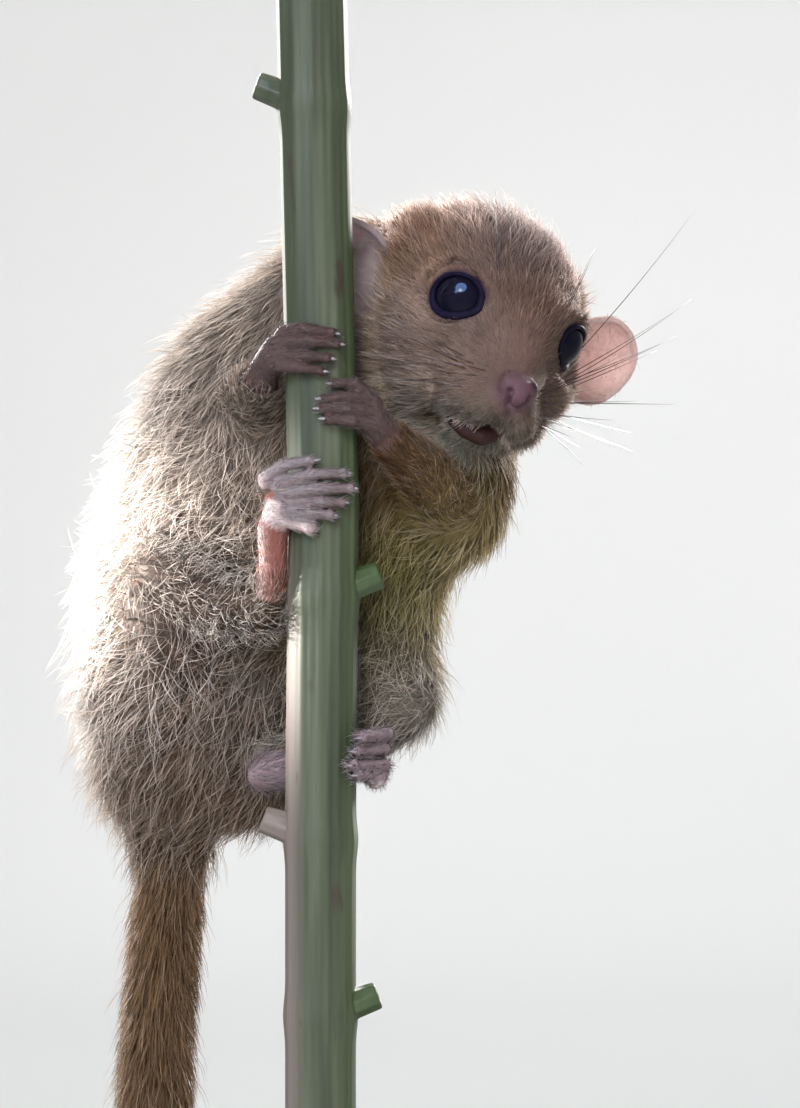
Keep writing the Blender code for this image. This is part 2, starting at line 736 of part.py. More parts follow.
def build():
    """Build every piece of the model."""
    fur = material("sandy_fur", (0.52, 0.36, 0.22), 0.9)
    tail_fur = material("tail_fur", (0.40, 0.27, 0.16), 0.9)
    bare = material("pink_skin", (0.80, 0.48, 0.42), 0.5)
    ear_skin = material("ear_skin", (0.72, 0.42, 0.34), 0.6)
    eye_black = material("eye_black", (0.01, 0.01, 0.015), 0.05)
    stem_green = material("stem_green", (0.38, 0.40, 0.24), 0.6)
    wood = material("base_wood", (0.30, 0.18, 0.09), 0.5)
    brass = material("rod_brass", (0.70, 0.52, 0.25), 0.3, 1.0)

    stem = make_stem()
    stem_room = grown(stem)
    head = make_head_mass()
    head_room = grown(head)
    trunk = make_trunk_mass()
    trunk_room = grown(trunk)
    combine(trunk, stem_room, "DIFFERENCE", keep_tool=True)
    combine(trunk, head_room, "DIFFERENCE", keep_tool=True)
    largest(trunk)

    tail = make_tail_mass()
    combine(tail, trunk_room, "DIFFERENCE", keep_tool=True)
    tail_tip = split_off(tail, below(TAIL_CUTS[1]))
    tail_mid = split_off(tail, below(TAIL_CUTS[0]))

    limbs = {
        "shin_right": make_right_leg(),
        "shin_left": make_left_leg(),
        "forearm_right": make_right_arm(),
        "forearm_left": make_left_arm(),
    }
    for mass in limbs.values():
        for room in (trunk_room, head_room, stem_room):
            combine(mass, room, "DIFFERENCE", keep_tool=True)
        largest(mass)

    for side, word in ((1, "left"), (-1, "right")):
        ear = make_ear(side)
        for room in (head_room, stem_room, trunk_room):
            combine(ear, room, "DIFFERENCE", keep_tool=True)
        finish(ear, f"ear_{word}", ear_skin)
        finish(make_eye(side), f"eye_{word}", eye_black)

    add_face_details(head)
    neck = split_off(trunk, ball_region(*NECK))
    uppers = {
        name: split_off(trunk, ball_region(centre, radii))
        for name, (centre, radii) in UPPER_LIMBS.items()
    }
    ends = {
        name: split_off(limbs[owner], ball_region(centre, radii))
        for name, owner, centre, radii in ENDS
    }

    finish(head, "head", fur)
    finish(neck, "neck", fur)
    finish(trunk, "torso", fur)
    finish(tail, "tail_base", tail_fur)
    finish(tail_mid, "tail_mid", tail_fur)
    finish(tail_tip, "tail_tip", tail_fur)
    for name, piece in uppers.items():
        finish(piece, name, fur)
    for name, piece in (*limbs.items(), *ends.items()):
        finish(piece, name, bare)
    finish(stem, "stand_stem", stem_green)
    finish(make_rod(), "stand_rod", brass, HARD_ANGLE)
    finish(make_base(), "stand_base", wood, HARD_ANGLE)
    for tool in (stem_room, head_room, trunk_room):
        discard(tool)


clear_scene()
random.seed(SEED)
PARTS = new_collection("hazel_dormouse")
WORKSHOP = new_collection("workshop")
ANCHOR = bpy.data.objects.new("hazel_dormouse_anchor", None)
PARTS.objects.link(ANCHOR)
build()
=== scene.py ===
"""The looks of a young hazel dormouse that clings to a cut plant stem on a small stand.

Pieces are shaped in millimetres in the row's own axes and scaled to metres at the end.
"""

import logging
import math
from collections.abc import Sequence
from dataclasses import dataclass, field
from enum import Enum

import bmesh
import bpy
import numpy as np
from mathutils import Matrix, Vector
from mathutils.bvhtree import BVHTree
from mathutils.kdtree import KDTree


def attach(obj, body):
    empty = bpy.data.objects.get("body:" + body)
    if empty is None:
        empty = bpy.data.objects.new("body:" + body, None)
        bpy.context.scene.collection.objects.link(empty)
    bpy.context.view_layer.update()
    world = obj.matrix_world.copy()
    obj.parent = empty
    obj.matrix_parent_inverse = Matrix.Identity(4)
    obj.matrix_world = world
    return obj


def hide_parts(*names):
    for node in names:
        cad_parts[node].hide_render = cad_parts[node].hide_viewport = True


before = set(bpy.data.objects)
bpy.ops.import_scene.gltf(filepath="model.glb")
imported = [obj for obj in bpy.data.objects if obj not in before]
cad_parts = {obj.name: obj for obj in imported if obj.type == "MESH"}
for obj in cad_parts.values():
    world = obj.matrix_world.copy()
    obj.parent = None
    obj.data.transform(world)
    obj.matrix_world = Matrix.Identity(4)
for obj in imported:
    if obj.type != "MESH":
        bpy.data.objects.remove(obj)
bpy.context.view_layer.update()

LOG = logging.getLogger("dormouse")
METRES = 0.001
SEED = 11

Point = tuple[float, float, float]
Path = tuple[tuple[Point, float], ...]

# Camera: the photograph's place and lens
CAMERA_PLACE = (0.00357, -0.4047, 0.077)
CAMERA_LENS = 180.0
CAMERA_SENSOR = 36.0

# Head: the part's own axes, forward, left and up from the middle of the skull
HEAD_CENTRE = np.array((10.3, -3.0, 94.2))
HEAD_ROTATION = (
    Matrix.Rotation(math.radians(17.0 - 90.0), 3, "Z")
    @ Matrix.Rotation(math.radians(19.0), 3, "Y")
    @ Matrix.Rotation(math.radians(-22.5), 3, "X")
)
HEAD_AXES = np.array(HEAD_ROTATION)
NOSE_TIP = np.array((11.0, 0.0, -2.6))
EYE_PLACE = (2.75, 3.77, 0.70)
EYE_RADIUS = 2.15
EYE_GAZE = (0.66, 0.74, 0.10)
EYE_LONG_AXIS = (0.50, -0.78, 0.40)
LID_ALONG = 1.93
LID_ACROSS = 1.53
LID_SPHERE = 2.36
EAR_PLACES = {1: (-3.9, 10.8, -0.4), -1: (-4.2, 10.6, -1.6)}
EAR_FACING = (0.96, 0.28, 0.05)
EAR_ACROSS = (-0.28, 0.96, 0.0)
EAR_SIZE = (3.4, 3.3, 2.2)

# Stem: the part's own line, at one Y all the way up
STEM_Y = -9.0
STEM_RADIUS = 2.55
STEM_LINE = ((-2.1, 34.3), (-2.1, 59.0), (-1.9, 81.0), (-2.4, 102.0), (-2.8, 119.0))
STUBS = ((56.6, -1), (44.0, 1), (74.0, 1), (109.0, -1))

# Body: the way its hair lies, and the tail's line with the coat's half-width
BODY_LIE = np.array((-0.40, 0.06, -0.91))
TAIL_LINE: Path = (
    ((-12.6, 5.2, 62.5), 5.0),
    ((-13.0, 5.4, 58.8), 4.5),
    ((-13.2, 5.6, 56.0), 3.3),
    ((-13.4, 5.4, 53.5), 2.5),
    ((-13.8, 5.0, 49.0), 2.4),
    ((-14.4, 4.2, 40.5), 2.5),
    ((-14.6, 4.4, 34.0), 2.6),
    ((-14.3, 5.0, 27.5), 2.6),
    ((-13.4, 6.0, 21.0), 2.5),
    ((-12.2, 7.2, 15.5), 2.0),
    ((-11.4, 8.0, 12.4), 1.2),
)
TAIL_CORE = 0.78


class Tone(Enum):
    """Colours of the coat and the bare skin, in linear light."""

    SANDY = (0.56, 0.42, 0.31)
    BUFF = (0.32, 0.172, 0.10)
    BROW = (0.21, 0.125, 0.096)
    CHEEK = (0.68, 0.45, 0.34)
    # Pale jowl, lightened partly as painted light to lift the shade in the hollow below the cheek.
    JOWL = (0.86, 0.70, 0.58)
    TEMPLE = (0.60, 0.29, 0.14)
    CROWN = (0.54, 0.42, 0.41)
    CREAM = (0.60, 0.56, 0.43)
    # Deep orange, darkened partly as painted shade on the chest.
    ORANGE = (0.20, 0.066, 0.014)
    MUZZLE = (0.48, 0.29, 0.24)
    UMBER = (0.10, 0.050, 0.037)
    # Pale buff, brightened partly as painted sunlight on the right flank and hip.
    PALE_WITH_PAINTED_SUN = (0.84, 0.71, 0.61)
    GREY_BUFF = (0.50, 0.39, 0.30)
    STRAW = (0.72, 0.58, 0.26)
    SLATE = (0.58, 0.53, 0.45)
    # Olive buff of the belly; its green cast is painted light bounced from leaves.
    OLIVE = (0.37, 0.37, 0.07)
    TAIL = (0.39, 0.24, 0.12)
    PINK = (0.44, 0.17, 0.13)
    # Pale mauve of the pads, brightened a little as painted sunlight; also the painted sunlit edge of the
    # right sole.
    MAUVE = (0.92, 0.76, 0.74)
    ROSE = (0.18, 0.095, 0.13)
    LILAC = (0.158, 0.104, 0.10)
    TOE = (0.37, 0.35, 0.37)
    # Lilac heel and toes of the left foot, darkened partly as painted shade.
    HEEL = (0.39, 0.30, 0.33)
    LIP = (0.050, 0.022, 0.018)
    # Ear skin: the right ear's darker mauve is painted shade, and the left ear's pale pink is partly painted
    # light shining through it.
    EAR = (0.68, 0.56, 0.53)
    EAR_PAINTED_SHADE = (0.42, 0.35, 0.38)
    PLUM = (0.035, 0.016, 0.032)
    WHITE = (0.90, 0.86, 0.81)
    DARK_HAIR = (0.05, 0.028, 0.02)

    @property
    def rgb(self) -> np.ndarray:
        """Give the colour as an array."""
        return np.array(self.value)


@dataclass(frozen=True)
class CoatZone:
    """One named area of the coat, whose values fade into those of its neighbours.

    Args:
        name: What the area is.
        place: Its middle, by the head's axes or the row's.
        tone: Colour of the hair.
        length: Length of the hair in millimetres.
        lift: Angle of the hair to the skin in degrees.
        depth: How deep the skin lies under the coat's outline.
        reach: How far its influence goes.
        ruffle: How far the hair strays, curls and clings together, from 0 to 1.
    """

    name: str
    place: Point
    tone: Tone
    length: float
    lift: float
    depth: float
    reach: float
    ruffle: float


HEAD_ZONES = (
    CoatZone("nose", (10.6, 0.0, -2.6), Tone.MUZZLE, 0.22, 8.0, 0.03, 1.2, 0.05),
    # The dark umber beside the nose and on the muzzle's side is partly dark hair and partly painted shade on
    # the muzzle's shadow side.
    CoatZone("nose side", (9.4, 1.5, -2.4), Tone.UMBER, 0.35, 9.0, 0.06, 1.2, 0.05),
    CoatZone("muzzle side", (9.0, 1.9, -3.5), Tone.UMBER, 0.45, 10.0, 0.07, 2.0, 0.05),
    CoatZone("lip corner", (7.6, 2.4, -6.1), Tone.CREAM, 1.25, 24.0, 0.2, 0.9, 0.15),
    CoatZone("nose bridge", (7.6, 0.0, -0.4), Tone.MUZZLE, 0.6, 11.0, 0.12, 1.9, 0.05),
    CoatZone("forehead", (4.0, 0.0, 3.2), Tone.BUFF, 1.1, 13.0, 0.28, 2.8, 0.1),
    CoatZone("crown", (-1.5, 0.0, 6.4), Tone.CROWN, 2.4, 33.0, 0.5, 4.0, 0.5),
    CoatZone("nape", (-8.0, 0.0, 5.0), Tone.SANDY, 2.4, 24.0, 0.8, 4.0, 0.4),
    CoatZone("brow", (3.0, 3.6, 3.4), Tone.BROW, 0.9, 11.0, 0.18, 1.6, 0.08),
    CoatZone("under eye", (4.4, 4.3, -1.6), Tone.BROW, 0.8, 10.0, 0.15, 1.7, 0.08),
    CoatZone("cheek", (2.6, 5.0, -3.8), Tone.CHEEK, 1.4, 14.0, 0.35, 2.8, 0.15),
    CoatZone("jowl", (-2.0, 6.5, -5.0), Tone.JOWL, 2.2, 20.0, 0.7, 4.0, 0.3),
    CoatZone("whisker pad", (7.9, 2.5, -3.7), Tone.CHEEK, 0.65, 12.0, 0.1, 1.6, 0.08),
    CoatZone("upper lip", (8.9, 1.5, -5.6), Tone.CREAM, 1.4, 22.0, 0.08, 1.1, 0.2),
    CoatZone("chin", (6.4, 0.0, -8.6), Tone.CREAM, 1.0, 24.0, 0.15, 1.8, 0.2),
    CoatZone("throat", (0.5, 0.0, -8.4), Tone.CREAM, 1.8, 18.0, 0.5, 4.0, 0.2),
    CoatZone("behind eye", (-1.2, 6.2, 2.2), Tone.TEMPLE, 1.5, 15.0, 0.4, 2.8, 0.15),
    CoatZone("ear root", (-4.4, 7.6, 0.8), Tone.ORANGE, 1.8, 30.0, 0.4, 1.8, 0.3),
)
BODY_ZONES = (
    # The upper back takes the darker grey buff, partly as painted shade.
    CoatZone("upper back", (-6.0, 15.0, 92.0), Tone.GREY_BUFF, 3.0, 26.0, 0.9, 7.0, 0.5),
    CoatZone("middle back", (-8.0, 18.0, 80.0), Tone.SANDY, 3.5, 36.0, 1.1, 8.0, 0.75),
    CoatZone("lower back", (-14.0, 14.0, 68.0), Tone.SANDY, 3.7, 38.0, 1.2, 8.0, 0.75),
    # The right flank and hip take the palest tone, partly as painted sunlight.
    CoatZone("right flank", (-17.0, 4.0, 82.0), Tone.PALE_WITH_PAINTED_SUN, 3.3, 46.0, 1.2, 6.0, 1.0),
    CoatZone("right hip", (-19.0, 4.0, 70.0), Tone.PALE_WITH_PAINTED_SUN, 3.9, 48.0, 1.2, 5.5, 1.0),
    CoatZone("right thigh", (-13.0, -4.0, 73.0), Tone.BUFF, 3.4, 34.0, 1.1, 5.0, 1.0),
    CoatZone("right shoulder", (-8.0, -3.0, 89.0), Tone.GREY_BUFF, 2.4, 18.0, 0.8, 5.0, 0.3),
    CoatZone("right ribs", (-11.5, -4.0, 81.5), Tone.GREY_BUFF, 2.4, 26.0, 0.9, 4.5, 0.9),
    CoatZone("throat side", (1.5, -4.0, 92.0), Tone.JOWL, 1.9, 16.0, 0.6, 2.6, 0.15),
    CoatZone("chest", (2.0, -5.0, 84.0), Tone.ORANGE, 2.2, 18.0, 0.6, 3.8, 0.12),
    CoatZone("throat root", (4.5, -5.0, 88.5), Tone.CREAM, 1.8, 18.0, 0.5, 3.0, 0.2),
    CoatZone("left shoulder", (9.0, 1.0, 86.0), Tone.ORANGE, 2.5, 20.0, 0.7, 5.0, 0.3),
    CoatZone("left chest", (8.5, -4.0, 80.0), Tone.STRAW, 2.6, 20.0, 0.7, 3.6, 0.3),
    CoatZone("belly", (2.0, -3.0, 75.0), Tone.OLIVE, 2.6, 18.0, 0.8, 4.0, 0.3),
    CoatZone("left side", (7.0, 6.0, 76.0), Tone.STRAW, 3.0, 26.0, 0.9, 6.0, 0.5),
    CoatZone("left thigh", (3.0, -3.0, 67.0), Tone.PALE_WITH_PAINTED_SUN, 2.8, 24.0, 0.8, 3.2, 0.9),
    CoatZone("left knee", (6.0, 2.0, 67.0), Tone.PALE_WITH_PAINTED_SUN, 3.0, 30.0, 0.9, 3.4, 0.7),
    CoatZone("groin", (-6.5, -2.0, 65.0), Tone.GREY_BUFF, 2.6, 20.0, 0.7, 3.6, 0.5),
    CoatZone("rump", (-11.0, 1.0, 60.0), Tone.TAIL, 3.0, 22.0, 0.8, 4.5, 0.3),
    CoatZone("rump back", (-12.0, 9.0, 60.0), Tone.SANDY, 3.2, 26.0, 0.9, 5.0, 0.5),
)


@dataclass(frozen=True)
class Stroke:
    """One sculpting stroke along a path given by the head's axes.

    Args:
        path: Points that the stroke passes.
        radius: How wide it acts.
        push: How far it moves the skin, outward where positive.
        paired: Whether it is made on both sides.
    """

    path: tuple[Point, ...]
    radius: float
    push: float
    paired: bool = True

    def on(self, side: int) -> np.ndarray:
        """Give the path on one side, 1 for left and -1 for right."""
        return np.array([mirrored(point, side) for point in self.path])


FACE_STROKES = (
    Stroke(((10.9, 0.85, -2.75), (10.9, 0.8, -3.2), (10.75, 0.6, -3.6), (10.55, 0.2, -4.0)), 0.34, -0.6),
    Stroke(((10.6, 0.0, -3.9), (10.3, 0.0, -5.0)), 0.28, -0.28, False),
    Stroke(((10.1, 0.0, -5.3), (9.4, 1.0, -6.25), (8.4, 1.9, -6.6), (7.0, 2.5, -6.9)), 0.22, -0.25),
    Stroke(((9.2, 1.5, -5.0), (8.0, 2.6, -5.2)), 1.1, 0.2),
    Stroke(((5.4, 3.2, -0.6), (7.0, 2.2, -2.2)), 0.9, -0.12),
)
LOWER_LIP: Path = (
    ((7.0, -2.2, -6.9), 0.38),
    ((8.1, -1.35, -7.1), 0.6),
    ((8.7, -0.2, -6.95), 0.7),
    ((8.4, 0.9, -6.5), 0.5),
    ((8.0, 1.6, -5.9), 0.3),
)

# Limbs: points and half-widths; digits give a knuckle, a middle joint and a tip
RIGHT_SHIN: Path = (
    ((-13.2, -1.6, 75.2), 2.8),
    ((-9.6, -5.0, 73.2), 1.6),
    ((-6.4, -7.8, 72.9), 1.4),
    ((-5.8, -8.8, 73.6), 1.12),
)
RIGHT_SOLE: Path = (
    ((-5.5, -9.4, 74.8), 1.0),
    ((-5.5, -9.7, 76.8), 1.0),
    ((-5.5, -10.3, 78.7), 1.12),
    ((-5.0, -10.9, 80.3), 1.02),
)
RIGHT_TOES: tuple[Path, ...] = (
    (((-6.0, -10.6, 82.3), 0.58), ((-4.6, -11.7, 83.3), 0.46), ((-2.8, -12.0, 83.6), 0.34)),
    (((-4.9, -11.4, 82.0), 0.5), ((-2.7, -12.15, 82.65), 0.42), ((-0.45, -11.8, 82.7), 0.32)),
    (((-4.6, -11.5, 81.3), 0.5), ((-2.1, -12.3, 81.65), 0.42), ((0.0, -11.5, 81.65), 0.32)),
    (((-4.2, -11.4, 80.6), 0.46), ((-1.9, -12.05, 80.7), 0.4), ((-0.6, -11.6, 80.65), 0.3)),
    (((-4.3, -11.5, 80.0), 0.46), ((-2.8, -12.2, 79.85), 0.4), ((-1.4, -12.0, 79.75), 0.32)),
)
RIGHT_PAD: Path = (((-5.0, -11.0, 79.9), 0.95), ((-2.9, -11.9, 79.0), 0.48))
LEFT_SHIN: Path = (((3.6, 0.0, 66.2), 2.6), ((-1.0, -2.0, 63.2), 1.8), ((-5.0, -3.4, 61.9), 1.3))
LEFT_SOLE: Path = (((-6.2, -3.9, 61.1), 1.3), ((-2.2, -4.8, 61.9), 1.1), ((0.9, -5.6, 62.3), 1.2))
LEFT_TOES: tuple[Path, ...] = (
    (((1.6, -6.4, 63.5), 0.6), ((2.6, -8.6, 64.1), 0.5), ((0.9, -11.0, 63.95), 0.36)),
    (((1.7, -6.4, 62.8), 0.55), ((2.5, -8.8, 63.05), 0.4), ((0.55, -11.0, 63.0), 0.3)),
    (((1.6, -6.4, 62.0), 0.6), ((2.5, -8.8, 61.9), 0.45), ((0.3, -11.1, 62.0), 0.36)),
    (((1.4, -6.2, 61.4), 0.6), ((2.3, -8.8, 61.2), 0.45), ((0.6, -10.9, 61.25), 0.34)),
)
LEFT_PAD: Path = (((1.6, -6.6, 61.2), 0.8), ((1.9, -9.4, 60.9), 0.5))
RIGHT_FOREARM: Path = (((-7.0, -4.6, 88.2), 1.9), ((-6.6, -7.4, 89.2), 1.35))
RIGHT_WRIST: Path = (((-6.4, -8.2, 89.8), 1.1), ((-5.5, -9.9, 91.0), 1.15), ((-5.2, -10.3, 91.8), 0.9))
RIGHT_FINGERS: tuple[Path, ...] = (
    (((-4.7, -10.9, 92.8), 0.5), ((-3.2, -12.0, 93.0), 0.4), ((-1.3, -11.9, 92.7), 0.29)),
    (((-4.6, -11.1, 92.0), 0.5), ((-3.0, -12.1, 92.1), 0.4), ((-0.95, -11.9, 91.9), 0.29)),
    (((-4.6, -11.1, 91.1), 0.5), ((-3.1, -12.1, 91.1), 0.4), ((-1.6, -12.0, 90.9), 0.29)),
    (((-4.8, -10.9, 90.4), 0.48), ((-3.4, -12.0, 90.2), 0.38), ((-2.1, -12.0, 90.0), 0.28)),
)
LEFT_FOREARM: Path = (((6.8, -3.4, 81.2), 2.2), ((4.9, -6.6, 83.3), 1.7), ((3.0, -8.8, 85.0), 1.25))
LEFT_WRIST: Path = (((2.4, -9.3, 85.6), 1.15), ((1.5, -10.2, 86.6), 1.2), ((1.3, -10.4, 87.5), 1.05))
LEFT_FINGERS: tuple[Path, ...] = (
    (((1.1, -11.0, 88.4), 0.5), ((0.35, -11.6, 89.1), 0.4), ((-1.0, -12.0, 89.1), 0.29)),
    (((1.1, -11.2, 87.9), 0.5), ((0.0, -12.0, 88.2), 0.4), ((-1.75, -12.1, 88.05), 0.29)),
    (((1.2, -11.2, 87.1), 0.5), ((0.0, -12.0, 87.25), 0.4), ((-1.9, -12.1, 87.3), 0.29)),
    (((1.3, -11.0, 86.3), 0.5), ((0.3, -11.8, 86.4), 0.4), ((-1.5, -12.0, 86.55), 0.29)),
)


@dataclass(frozen=True)
class Limb:
    """The lower part of one limb.

    Args:
        furred: The length that carries the body's coat.
        bare: The sole or the hand, with only short hair.
        digits: The toes or fingers.
        pads: Soft pads beside them.
        tone: Colour of the coat on its furred length.
        hair: Length of the hair there.
        bare_tone: Colour of the bare skin.
        digit_tone: Colour of the skin of the digits.
    """

    furred: Path
    bare: Path
    digits: tuple[Path, ...]
    pads: tuple[Path, ...]
    tone: Tone
    hair: float
    bare_tone: Tone
    digit_tone: Tone


LIMBS = (
    Limb(RIGHT_SHIN, RIGHT_SOLE, RIGHT_TOES, (RIGHT_PAD,), Tone.GREY_BUFF, 1.9, Tone.PINK, Tone.TOE),
    Limb(LEFT_SHIN, LEFT_SOLE, LEFT_TOES, (LEFT_PAD,), Tone.SLATE, 2.0, Tone.HEEL, Tone.HEEL),
    Limb(RIGHT_FOREARM, RIGHT_WRIST, RIGHT_FINGERS, (), Tone.GREY_BUFF, 1.8, Tone.LILAC, Tone.LILAC),
    Limb(LEFT_FOREARM, LEFT_WRIST, LEFT_FINGERS, (), Tone.ORANGE, 1.6, Tone.LILAC, Tone.LILAC),
)


def to_head(points: np.ndarray) -> np.ndarray:
    """Turn points of the row into the head's axes."""
    return (points - HEAD_CENTRE) @ HEAD_AXES


def from_head(points: np.ndarray) -> np.ndarray:
    """Turn points given by the head's axes into the row's."""
    return points @ HEAD_AXES.T + HEAD_CENTRE


def mirrored(point: Sequence[float], side: int) -> np.ndarray:
    """Take a point of the left side of the head to the given side."""
    return np.array((point[0], side * point[1], point[2]))


def sides(paired: bool = True) -> tuple[int, ...]:
    """Give 1 for left and -1 for right, or 1 alone where only one is made."""
    return (1, -1) if paired else (1,)


def turns(count: int) -> list[float]:
    """Give the angles of a full turn in even steps."""
    return [2.0 * math.pi * step / count for step in range(count)]


def smoothstep(low: float, high: float, value: np.ndarray) -> np.ndarray:
    """Rise smoothly from 0 at low to 1 at high."""
    share = np.clip((value - low) / (high - low), 0.0, 1.0)
    return share * share * (3.0 - 2.0 * share)


def unit(vectors: np.ndarray) -> np.ndarray:
    """Scale vectors to length 1."""
    return vectors / np.maximum(np.linalg.norm(vectors, axis=-1, keepdims=True), 1e-9)


def wavy_noise(points: np.ndarray, scale: float, seed: int) -> np.ndarray:
    """Give smooth noise from a sum of seeded waves.

    Args:
        points: Points in millimetres.
        scale: Size of the bumps in millimetres.
        seed: Which noise.

    Returns:
        One number a point, mostly from -1 to 1.
    """
    draw = np.random.default_rng(seed)
    total = np.zeros(len(points))
    for _ in range(9):
        wave = unit(draw.normal(size=3)) * (2.0 * math.pi / (scale * draw.uniform(0.8, 2.2)))
        total += np.sin(points @ wave + draw.uniform(0.0, 2.0 * math.pi))
    return total / 3.0


def path_distance(points: np.ndarray, path: np.ndarray) -> tuple[np.ndarray, np.ndarray, np.ndarray]:
    """Measure how far points are from a line of straight pieces.

    Args:
        points: Points in millimetres.
        path: The line's corners.

    Returns:
        The distance, the place along the line counted in corners, and the line's direction there.
    """
    best = np.full(len(points), 1e9)
    place = np.zeros(len(points))
    direction = np.zeros((len(points), 3))
    for index, (start, end) in enumerate(zip(path[:-1], path[1:])):
        step = end - start
        share = np.clip((points - start) @ step / (step @ step), 0.0, 1.0)
        away = np.linalg.norm(points - (start + share[:, None] * step), axis=1)
        closer = away < best
        best[closer] = away[closer]
        place[closer] = index + share[closer]
        direction[closer] = unit(step)
    return best, place, direction


def stem_middle(height: np.ndarray) -> np.ndarray:
    """Give the X of the stem's middle at some heights."""
    xs, zs = zip(*STEM_LINE)
    return np.interp(height, zs, xs)


@dataclass(frozen=True)
class Workbench:
    """Makes and changes mesh objects in millimetres."""

    merge_gap: float = 0.002
    ball_detail: int = 3
    form_detail: int = 4

    def from_bmesh(self, builder: bmesh.types.BMesh, name: str) -> bpy.types.Object:
        """Turn a bmesh into an object.

        Args:
            builder: The mesh, which is freed.
            name: The object's name.

        Returns:
            The new object.
        """
        mesh = bpy.data.meshes.new(name)
        bmesh.ops.recalc_face_normals(builder, faces=builder.faces)
        builder.to_mesh(mesh)
        builder.free()
        return self.wrap(mesh, name)

    def wrap(self, mesh: bpy.types.Mesh, name: str) -> bpy.types.Object:
        """Put a mesh into an object of the scene.

        Args:
            mesh: The mesh.
            name: The object's name.

        Returns:
            The new object.
        """
        item = bpy.data.objects.new(name, mesh)
        bpy.context.scene.collection.objects.link(item)
        return item

    def node_copy(self, node: str) -> bpy.types.Object:
        """Copy a node of the CAD model, merged and in millimetres.

        Args:
            node: The node's name.

        Returns:
            The copy.
        """
        builder = bmesh.new()
        builder.from_mesh(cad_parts[node].data)
        bmesh.ops.scale(builder, vec=(1 / METRES,) * 3, verts=builder.verts)
        bmesh.ops.remove_doubles(builder, verts=builder.verts, dist=self.merge_gap)
        return self.from_bmesh(builder, f"{node}_copy")

    def pill(self, start: tuple[Point, float], end: tuple[Point, float]) -> bpy.types.Object:
        """Make the hull round two balls.

        Args:
            start: Middle and radius of one ball.
            end: Middle and radius of the other.

        Returns:
            The hull.
        """
        builder = bmesh.new()
        for centre, radius in (start, end):
            place = Matrix.Translation(Vector(centre))
            bmesh.ops.create_icosphere(builder, subdivisions=self.ball_detail, radius=radius, matrix=place)
        bmesh.ops.delete(builder, geom=list(builder.edges), context="EDGES_FACES")
        hull = bmesh.ops.convex_hull(builder, input=list(builder.verts))
        loose = [v for v in hull["geom_interior"] if isinstance(v, bmesh.types.BMVert)]
        bmesh.ops.delete(builder, geom=loose, context="VERTS")
        return self.from_bmesh(builder, "pill")

    def ellipsoid(self, centre: np.ndarray, radii: Point, turn: Matrix) -> bpy.types.Object:
        """Make a turned ellipsoid.

        Args:
            centre: Its middle.
            radii: Its three half-widths.
            turn: Its rotation.

        Returns:
            The ellipsoid.
        """
        place = Matrix.Translation(Vector(centre)) @ turn.to_4x4() @ Matrix.Diagonal((*radii, 1.0))
        builder = bmesh.new()
        bmesh.ops.create_icosphere(builder, subdivisions=self.form_detail, radius=1.0, matrix=place)
        return self.from_bmesh(builder, "ellipsoid")

    def chain(self, path: Path) -> list[bpy.types.Object]:
        """Make the hulls that join each ball of a path to the next one."""
        return [self.pill(here, after) for here, after in zip(path, path[1:])]

    def join(self, items: Sequence[bpy.types.Object], name: str) -> bpy.types.Object:
        """Put several meshes into one object as separate shells.

        Args:
            items: The objects, which are removed.
            name: The new object's name.

        Returns:
            The joined object.
        """
        builder = bmesh.new()
        for item in items:
            builder.from_mesh(item.data)
            self.discard(item)
        return self.from_bmesh(builder, name)

    def discard(self, item: bpy.types.Object) -> None:
        """Remove an object that has done its work."""
        bpy.data.objects.remove(item, do_unlink=True)

    def tube(
        self, builder: bmesh.types.BMesh, rings: list[list[bmesh.types.BMVert]], endless: bool = False
    ) -> None:
        """Join rings of vertices, and cap both ends or join them too.

        Args:
            builder: The mesh that holds the vertices.
            rings: The rings, with as many vertices each.
            endless: Whether the last ring is joined to the first.
        """
        following = [*rings[1:], rings[0]] if endless else rings[1:]
        for ring, after in zip(rings, following):
            for index, vert in enumerate(ring):
                beside = (index + 1) % len(ring)
                builder.faces.new((vert, ring[beside], after[beside], after[index]))
        if not endless:
            builder.faces.new(rings[0])
            builder.faces.new(rings[-1])

    def dress(self, item: bpy.types.Object, finish: bpy.types.Material) -> bpy.types.Object:
        """Give a piece its one material and smooth shading.

        Args:
            item: The piece.
            finish: The material.

        Returns:
            The same piece.
        """
        item.data.materials.clear()
        item.data.materials.append(finish)
        item.data.shade_smooth()
        return item

    def change(self, item: bpy.types.Object, **steps: dict[str, object]) -> bpy.types.Object:
        """Change an object by modifiers, and apply them.

        Args:
            item: The object.
            **steps: Each modifier's settings, by its type.

        Returns:
            The same object.
        """
        for kind, settings in steps.items():
            modifier = item.modifiers.new(kind.lower(), kind)
            for name, value in settings.items():
                setattr(modifier, name, value)
        graph = bpy.context.evaluated_depsgraph_get()
        mesh = bpy.data.meshes.new_from_object(item.evaluated_get(graph))
        item.modifiers.clear()
        item.data = mesh
        return item

    def melt(self, item: bpy.types.Object, voxel: float, smoothing: int) -> bpy.types.Object:
        """Melt shells into one even, smooth surface.

        Args:
            item: The object.
            voxel: Size of the surface's squares.
            smoothing: How often it is smoothed.

        Returns:
            The same object.
        """
        melted = {"mode": "VOXEL", "voxel_size": voxel}
        return self.change(item, REMESH=melted, SMOOTH={"iterations": smoothing})

    def unite(self, item: bpy.types.Object, other: bpy.types.Object) -> None:
        """Take another closed surface into that of an object."""
        self.change(item, BOOLEAN={"operation": "UNION", "solver": "MANIFOLD", "object": other})
        self.discard(other)


